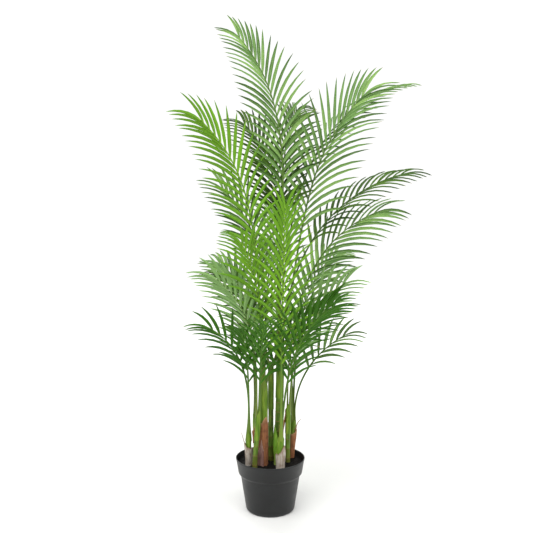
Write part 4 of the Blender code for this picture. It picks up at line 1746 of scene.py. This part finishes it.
@dataclass
class StalkPattern:
    """The stalk of a frond: a straight grooved rod, bent along each frond's own line."""

    sides: int = 10
    steps: int = 68
    groove: float = 0.5
    flatness: float = 0.74
    fullness: float = 1.22
    clasp: float = 1.15
    clasp_length: float = 0.045
    sunk: float = 0.010
    rod: Object = field(init=False)

    def model(self) -> None:
        """Models the rod, one unit per ring."""
        self.rod = Bench.disc("stalk_pattern", self.sides)
        with Bench.editing(self.rod):
            Bench.select(self.rod, lambda spot: spot.y > 0.95)
            bpy.ops.transform.translate(value=(0.0, -self.groove, 0.0))
            bpy.ops.mesh.select_all(action="SELECT")
            bpy.ops.transform.resize(value=(1.0, self.flatness, 1.0), center_override=ORIGIN)
            bpy.ops.transform.translate(value=(0.0, -0.3, 0.0))
            for _ in range(self.steps):
                Bench.extrude(1.0)
        Bench.face_outwards(self.rod)

    def bend(self, name: str, reading: FrondReading) -> Object:
        """Bends a copy of the rod along a frond.

        Args:
            name: the copy's name.
            reading: the frond's rings.

        Returns:
            The stalk, with its chart.
        """
        obj = Bench.copy_of(self.rod, name)
        flat = Bench.points_of(obj)
        first = reading.centres[0]
        start = first - unit(reading.centres[1] - first) * self.sunk
        centres = np.vstack([start, reading.centres])
        steps = np.linalg.norm(np.diff(centres, axis=0), axis=1)
        places = np.concatenate([[0.0], np.cumsum(steps)])
        wanted = places[-1] * flat[:, 2] / self.steps
        centre = smooth_path(centres, places, wanted)
        ahead = smooth_path(centres, places, np.minimum(wanted + 0.004, places[-1]))
        behind = smooth_path(centres, places, np.maximum(wanted - 0.004, 0.0))
        along = unit(ahead - behind)
        sides = np.vstack([reading.sides[0], reading.sides])
        aboves = np.vstack([reading.aboves[1], reading.aboves[1:2], reading.aboves[1:]])
        halves = np.concatenate([[reading.halves[0]], reading.halves]) * self.fullness
        side = np.stack([np.interp(wanted, places, sides[:, axis]) for axis in range(3)], axis=1)
        above = np.stack([np.interp(wanted, places, aboves[:, axis]) for axis in range(3)], axis=1)
        side = unit(side - along * np.sum(side * along, axis=1, keepdims=True))
        upward = np.cross(along, side)
        flip = np.where(np.sum(upward * above, axis=1) < 0.0, -1.0, 1.0)[:, None]
        half = np.interp(wanted, places, halves)
        clasp = 1.0 + self.clasp * np.exp(-((wanted / self.clasp_length) ** 1.5))
        sideways = side * flip * (flat[:, 0] * half * clasp)[:, None]
        upwards = upward * flip * (flat[:, 1] * half * clasp**0.5)[:, None]
        Bench.move_points(obj, centre + sideways + upwards)
        self.chart(obj, flat, wanted / places[-1])
        Bench.face_outwards(obj)
        return obj

    @staticmethod
    def chart(obj: Object, flat: np.ndarray, share: np.ndarray) -> None:
        """Writes the stalk's chart: round it, and from its foot to its tip.

        Args:
            obj: the bent stalk.
            flat: the vertices of the straight rod.
            share: how far along the stalk each vertex is, from 0 to 1.
        """
        around = np.arctan2(flat[:, 0], flat[:, 1]) / math.tau + 0.5
        corners = np.empty(len(obj.data.loops), np.int32)
        obj.data.loops.foreach_get("vertex_index", corners)
        Bench.write_chart(obj, np.column_stack([around[corners], share[corners]]))
        Bench.write_attribute(obj, TINT, 0.0)


@dataclass
class Fronds:
    """All fronds of the clump. Each is one piece: its stalk and the leaflets that grow out of it."""

    names: tuple[str, ...]
    pattern: LeafletPattern = field(default_factory=LeafletPattern)
    stalk: StalkPattern = field(default_factory=StalkPattern)
    tint_spread: float = 0.5  # between the leaflets of a frond
    frond_spread: float = 0.18  # between one frond and the next
    first_seed: int = 100

    def leaflets(self, name: str, reading: FrondReading, seed: int) -> Object:
        """Lays the pattern along every leaflet of a frond.

        Args:
            name: the mesh's name.
            reading: the frond's reading.
            seed: the seed of its random numbers.

        Returns:
            All leaflets as one mesh.
        """
        chance = np.random.default_rng(seed)
        pattern = self.pattern
        size = len(pattern.share)
        whole = chance.normal(0.0, self.frond_spread)
        points, faces, tints = [], [], []
        for number, leaflet in enumerate(reading.leaflets):
            points.append(pattern.lay(leaflet, chance))
            faces += [tuple(number * size + corner for corner in face) for face in pattern.faces]
            tints.append(np.full(size, whole + chance.normal(0.0, self.tint_spread)))
        obj = Bench.gather(name, points, faces)
        Bench.write_chart(obj, np.tile(pattern.chart, (len(reading.leaflets), 1)))
        Bench.write_attribute(obj, TINT, np.concatenate(tints))
        return obj

    def frond(self, name: str, node: Object, seed: int) -> Object:
        """Builds one frond.

        Args:
            name: the frond's name.
            node: the frame's object.
            seed: the seed of its random numbers.

        Returns:
            The finished piece.
        """
        tone = FrondTone(node.data.materials[0].name.split(".")[0])
        reading = FrondReading.of(node)
        stalk = self.stalk.bend("stalk", reading)
        leaflets = self.leaflets("leaflets", reading, seed)
        Bench.dress(stalk, tone.stalk)
        Bench.dress(leaflets, tone.blade)
        obj = Bench.join([stalk, leaflets], "palm_frond_" + name)
        Bench.smooth(obj, 48.0)
        Bench.hand_over(obj, tone.value, "frond_" + name)
        return obj

    def build(self, nodes: dict[str, Object]) -> list[Object]:
        """Models and dresses every frond.

        Args:
            nodes: the frame's objects.

        Returns:
            The finished pieces.
        """
        self.pattern.model()
        self.stalk.model()
        built = []
        for seed, name in enumerate(self.names, self.first_seed):
            built.append(self.frond(name, nodes["frond_" + name], seed))
        Bench.remove(self.stalk.rod)
        return built


@dataclass
class Studio:
    """The white studio: a pale floor, even light from all round, three soft lamps and the camera.

    Each lamp has its place and its share of the lamps' light, and points at the plant's middle.
    """

    floor_size: float = 60.0
    backdrop: float = 1.05
    sky: float = 0.45
    sun: float = 5.6
    sun_softness: float = 55.0
    eye: tuple[float, float, float] = (-0.0116, -1.68, 0.7365)
    lens: float = 37.08
    sensor: float = 36.0
    aim: tuple[float, float, float] = (0.0, 0.0, 0.6)
    lamps: tuple[tuple[str, tuple[float, float, float], float], ...] = (
        ("key_light", (-0.9, -1.5, 3.4), 0.5),
        ("fill_light", (2.2, -1.4, 2.6), 0.25),
        ("rim_light", (-0.3, 2.0, 3.0), 0.25),
    )
    paper: WhiteStudioPaper = WhiteStudioPaper()

    def floor(self) -> None:
        """Lays the floor."""
        plane = bpy.ops.mesh.primitive_plane_add
        obj = Bench.primitive("studio_floor", plane, size=self.floor_size, location=ORIGIN)
        Bench.dress(obj, self.paper)

    def lights(self) -> None:
        """Hangs the even light and three wide soft lamps: high on the left, on the right and behind."""
        scene = bpy.context.scene
        world = scene.world or bpy.data.worlds.new("studio")
        scene.world = world
        world.use_nodes = True
        tree = world.node_tree
        tree.nodes.clear()
        seen = add_node(tree, "ShaderNodeBackground", None, {"Color": "#FFFFFF", "Strength": self.backdrop})
        cast = add_node(tree, "ShaderNodeBackground", None, {"Color": "#FFFFFF", "Strength": self.sky})
        path = add_node(tree, "ShaderNodeLightPath")
        inputs = {0: path.outputs["Is Camera Ray"], 1: cast.outputs[0], 2: seen.outputs[0]}
        both = add_node(tree, "ShaderNodeMixShader", None, inputs)
        add_node(tree, "ShaderNodeOutputWorld", None, {"Surface": both.outputs[0]})
        for name, place, share in self.lamps:
            light = bpy.data.lights.new(name, "SUN")
            light.energy = self.sun * share
            light.angle = math.radians(self.sun_softness)
            lamp = bpy.data.objects.new(name, light)
            scene.collection.objects.link(lamp)
            lamp.location = place
            lamp.rotation_euler = (Vector(self.aim) - Vector(place)).to_track_quat("-Z", "Y").to_euler()

    def camera(self) -> None:
        """Sets up the camera and the plain view of its colours."""
        scene = bpy.context.scene
        data = bpy.data.cameras.new("front_camera")
        data.sensor_width = self.sensor
        data.lens = self.lens
        camera = bpy.data.objects.new("front_camera", data)
        scene.collection.objects.link(camera)
        camera.location = self.eye
        camera.rotation_euler = (math.radians(90.0), 0.0, 0.0)
        scene.camera = camera
        scene.view_settings.view_transform = "Standard"

    def build(self) -> None:
        """Sets up the floor, the lights and the camera."""
        self.floor()
        self.lights()
        self.camera()


SHEATHS = {
    "main": WrappedSheath("main", -90.0, 250.0, -0.004, 0.116, 0.150, 0.20, 0.001, seed=21),
    "main_outer": WrappedSheath("main", -122.0, 76.0, -0.004, 0.045, 0.078, 0.30, 0.001, off=0.0028, seed=22),
    "left": WrappedSheath("left", -110.0, 260.0, -0.004, 0.055, 0.078, -0.55, 0.005, seed=23),
    "left_back": WrappedSheath("left_back", -60.0, 200.0, 0.050, 0.090, 0.135, 0.0, 0.001, seed=24),
    "front_right": WrappedSheath("front_right", -90.0, 210.0, -0.004, 0.045, 0.074, 0.45, 0.003, seed=25),
    "centre_right": WrappedSheath("centre_right", -25.0, 130.0, 0.070, 0.120, 0.160, 0.10, 0.007, seed=26),
    "right": WrappedSheath("right", -80.0, 250.0, -0.004, 0.075, 0.094, 0.60, 0.003, seed=27),
}

HOOKS = {
    "left": FibreHook(
        (
            (-0.0735, -0.030, 0.195),
            (-0.0785, -0.031, 0.208),
            (-0.0830, -0.031, 0.224),
            (-0.0875, -0.030, 0.238),
        )
    ),
    "right": FibreHook(
        (
            (0.0770, 0.030, 0.226),
            (0.0815, 0.029, 0.239),
            (0.0865, 0.028, 0.252),
            (0.0950, 0.027, 0.262),
        )
    ),
}


def main() -> None:
    """Builds the palm over its frame, one sub-assembly at a time."""
    logging.basicConfig(level=logging.INFO, format="%(message)s")
    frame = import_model()
    nodes = frame["nodes"]
    Bench.deselect()
    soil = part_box("soil")[1].z
    pot = NurseryPot()
    pieces = [pot.build(), PeatBed().build(pot.hollow(0.0004))]
    canes = Canes(tuple(sorted(name[5:] for name in nodes if name.startswith("cane_"))))
    canes.read(nodes)
    pieces += canes.build(soil)
    pieces.append(GreenShoot().build(nodes))
    pieces += DrySheaths(SHEATHS, HOOKS).build(nodes, canes.readings, soil)
    pieces += Fronds(tuple(sorted(name[6:] for name in nodes if name.startswith("frond_")))).build(nodes)
    Studio().build()
    LOG.info("%d pieces stand for %d nodes", len(pieces), len(nodes))
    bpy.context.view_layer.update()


if __name__ == "__main__":
    main()
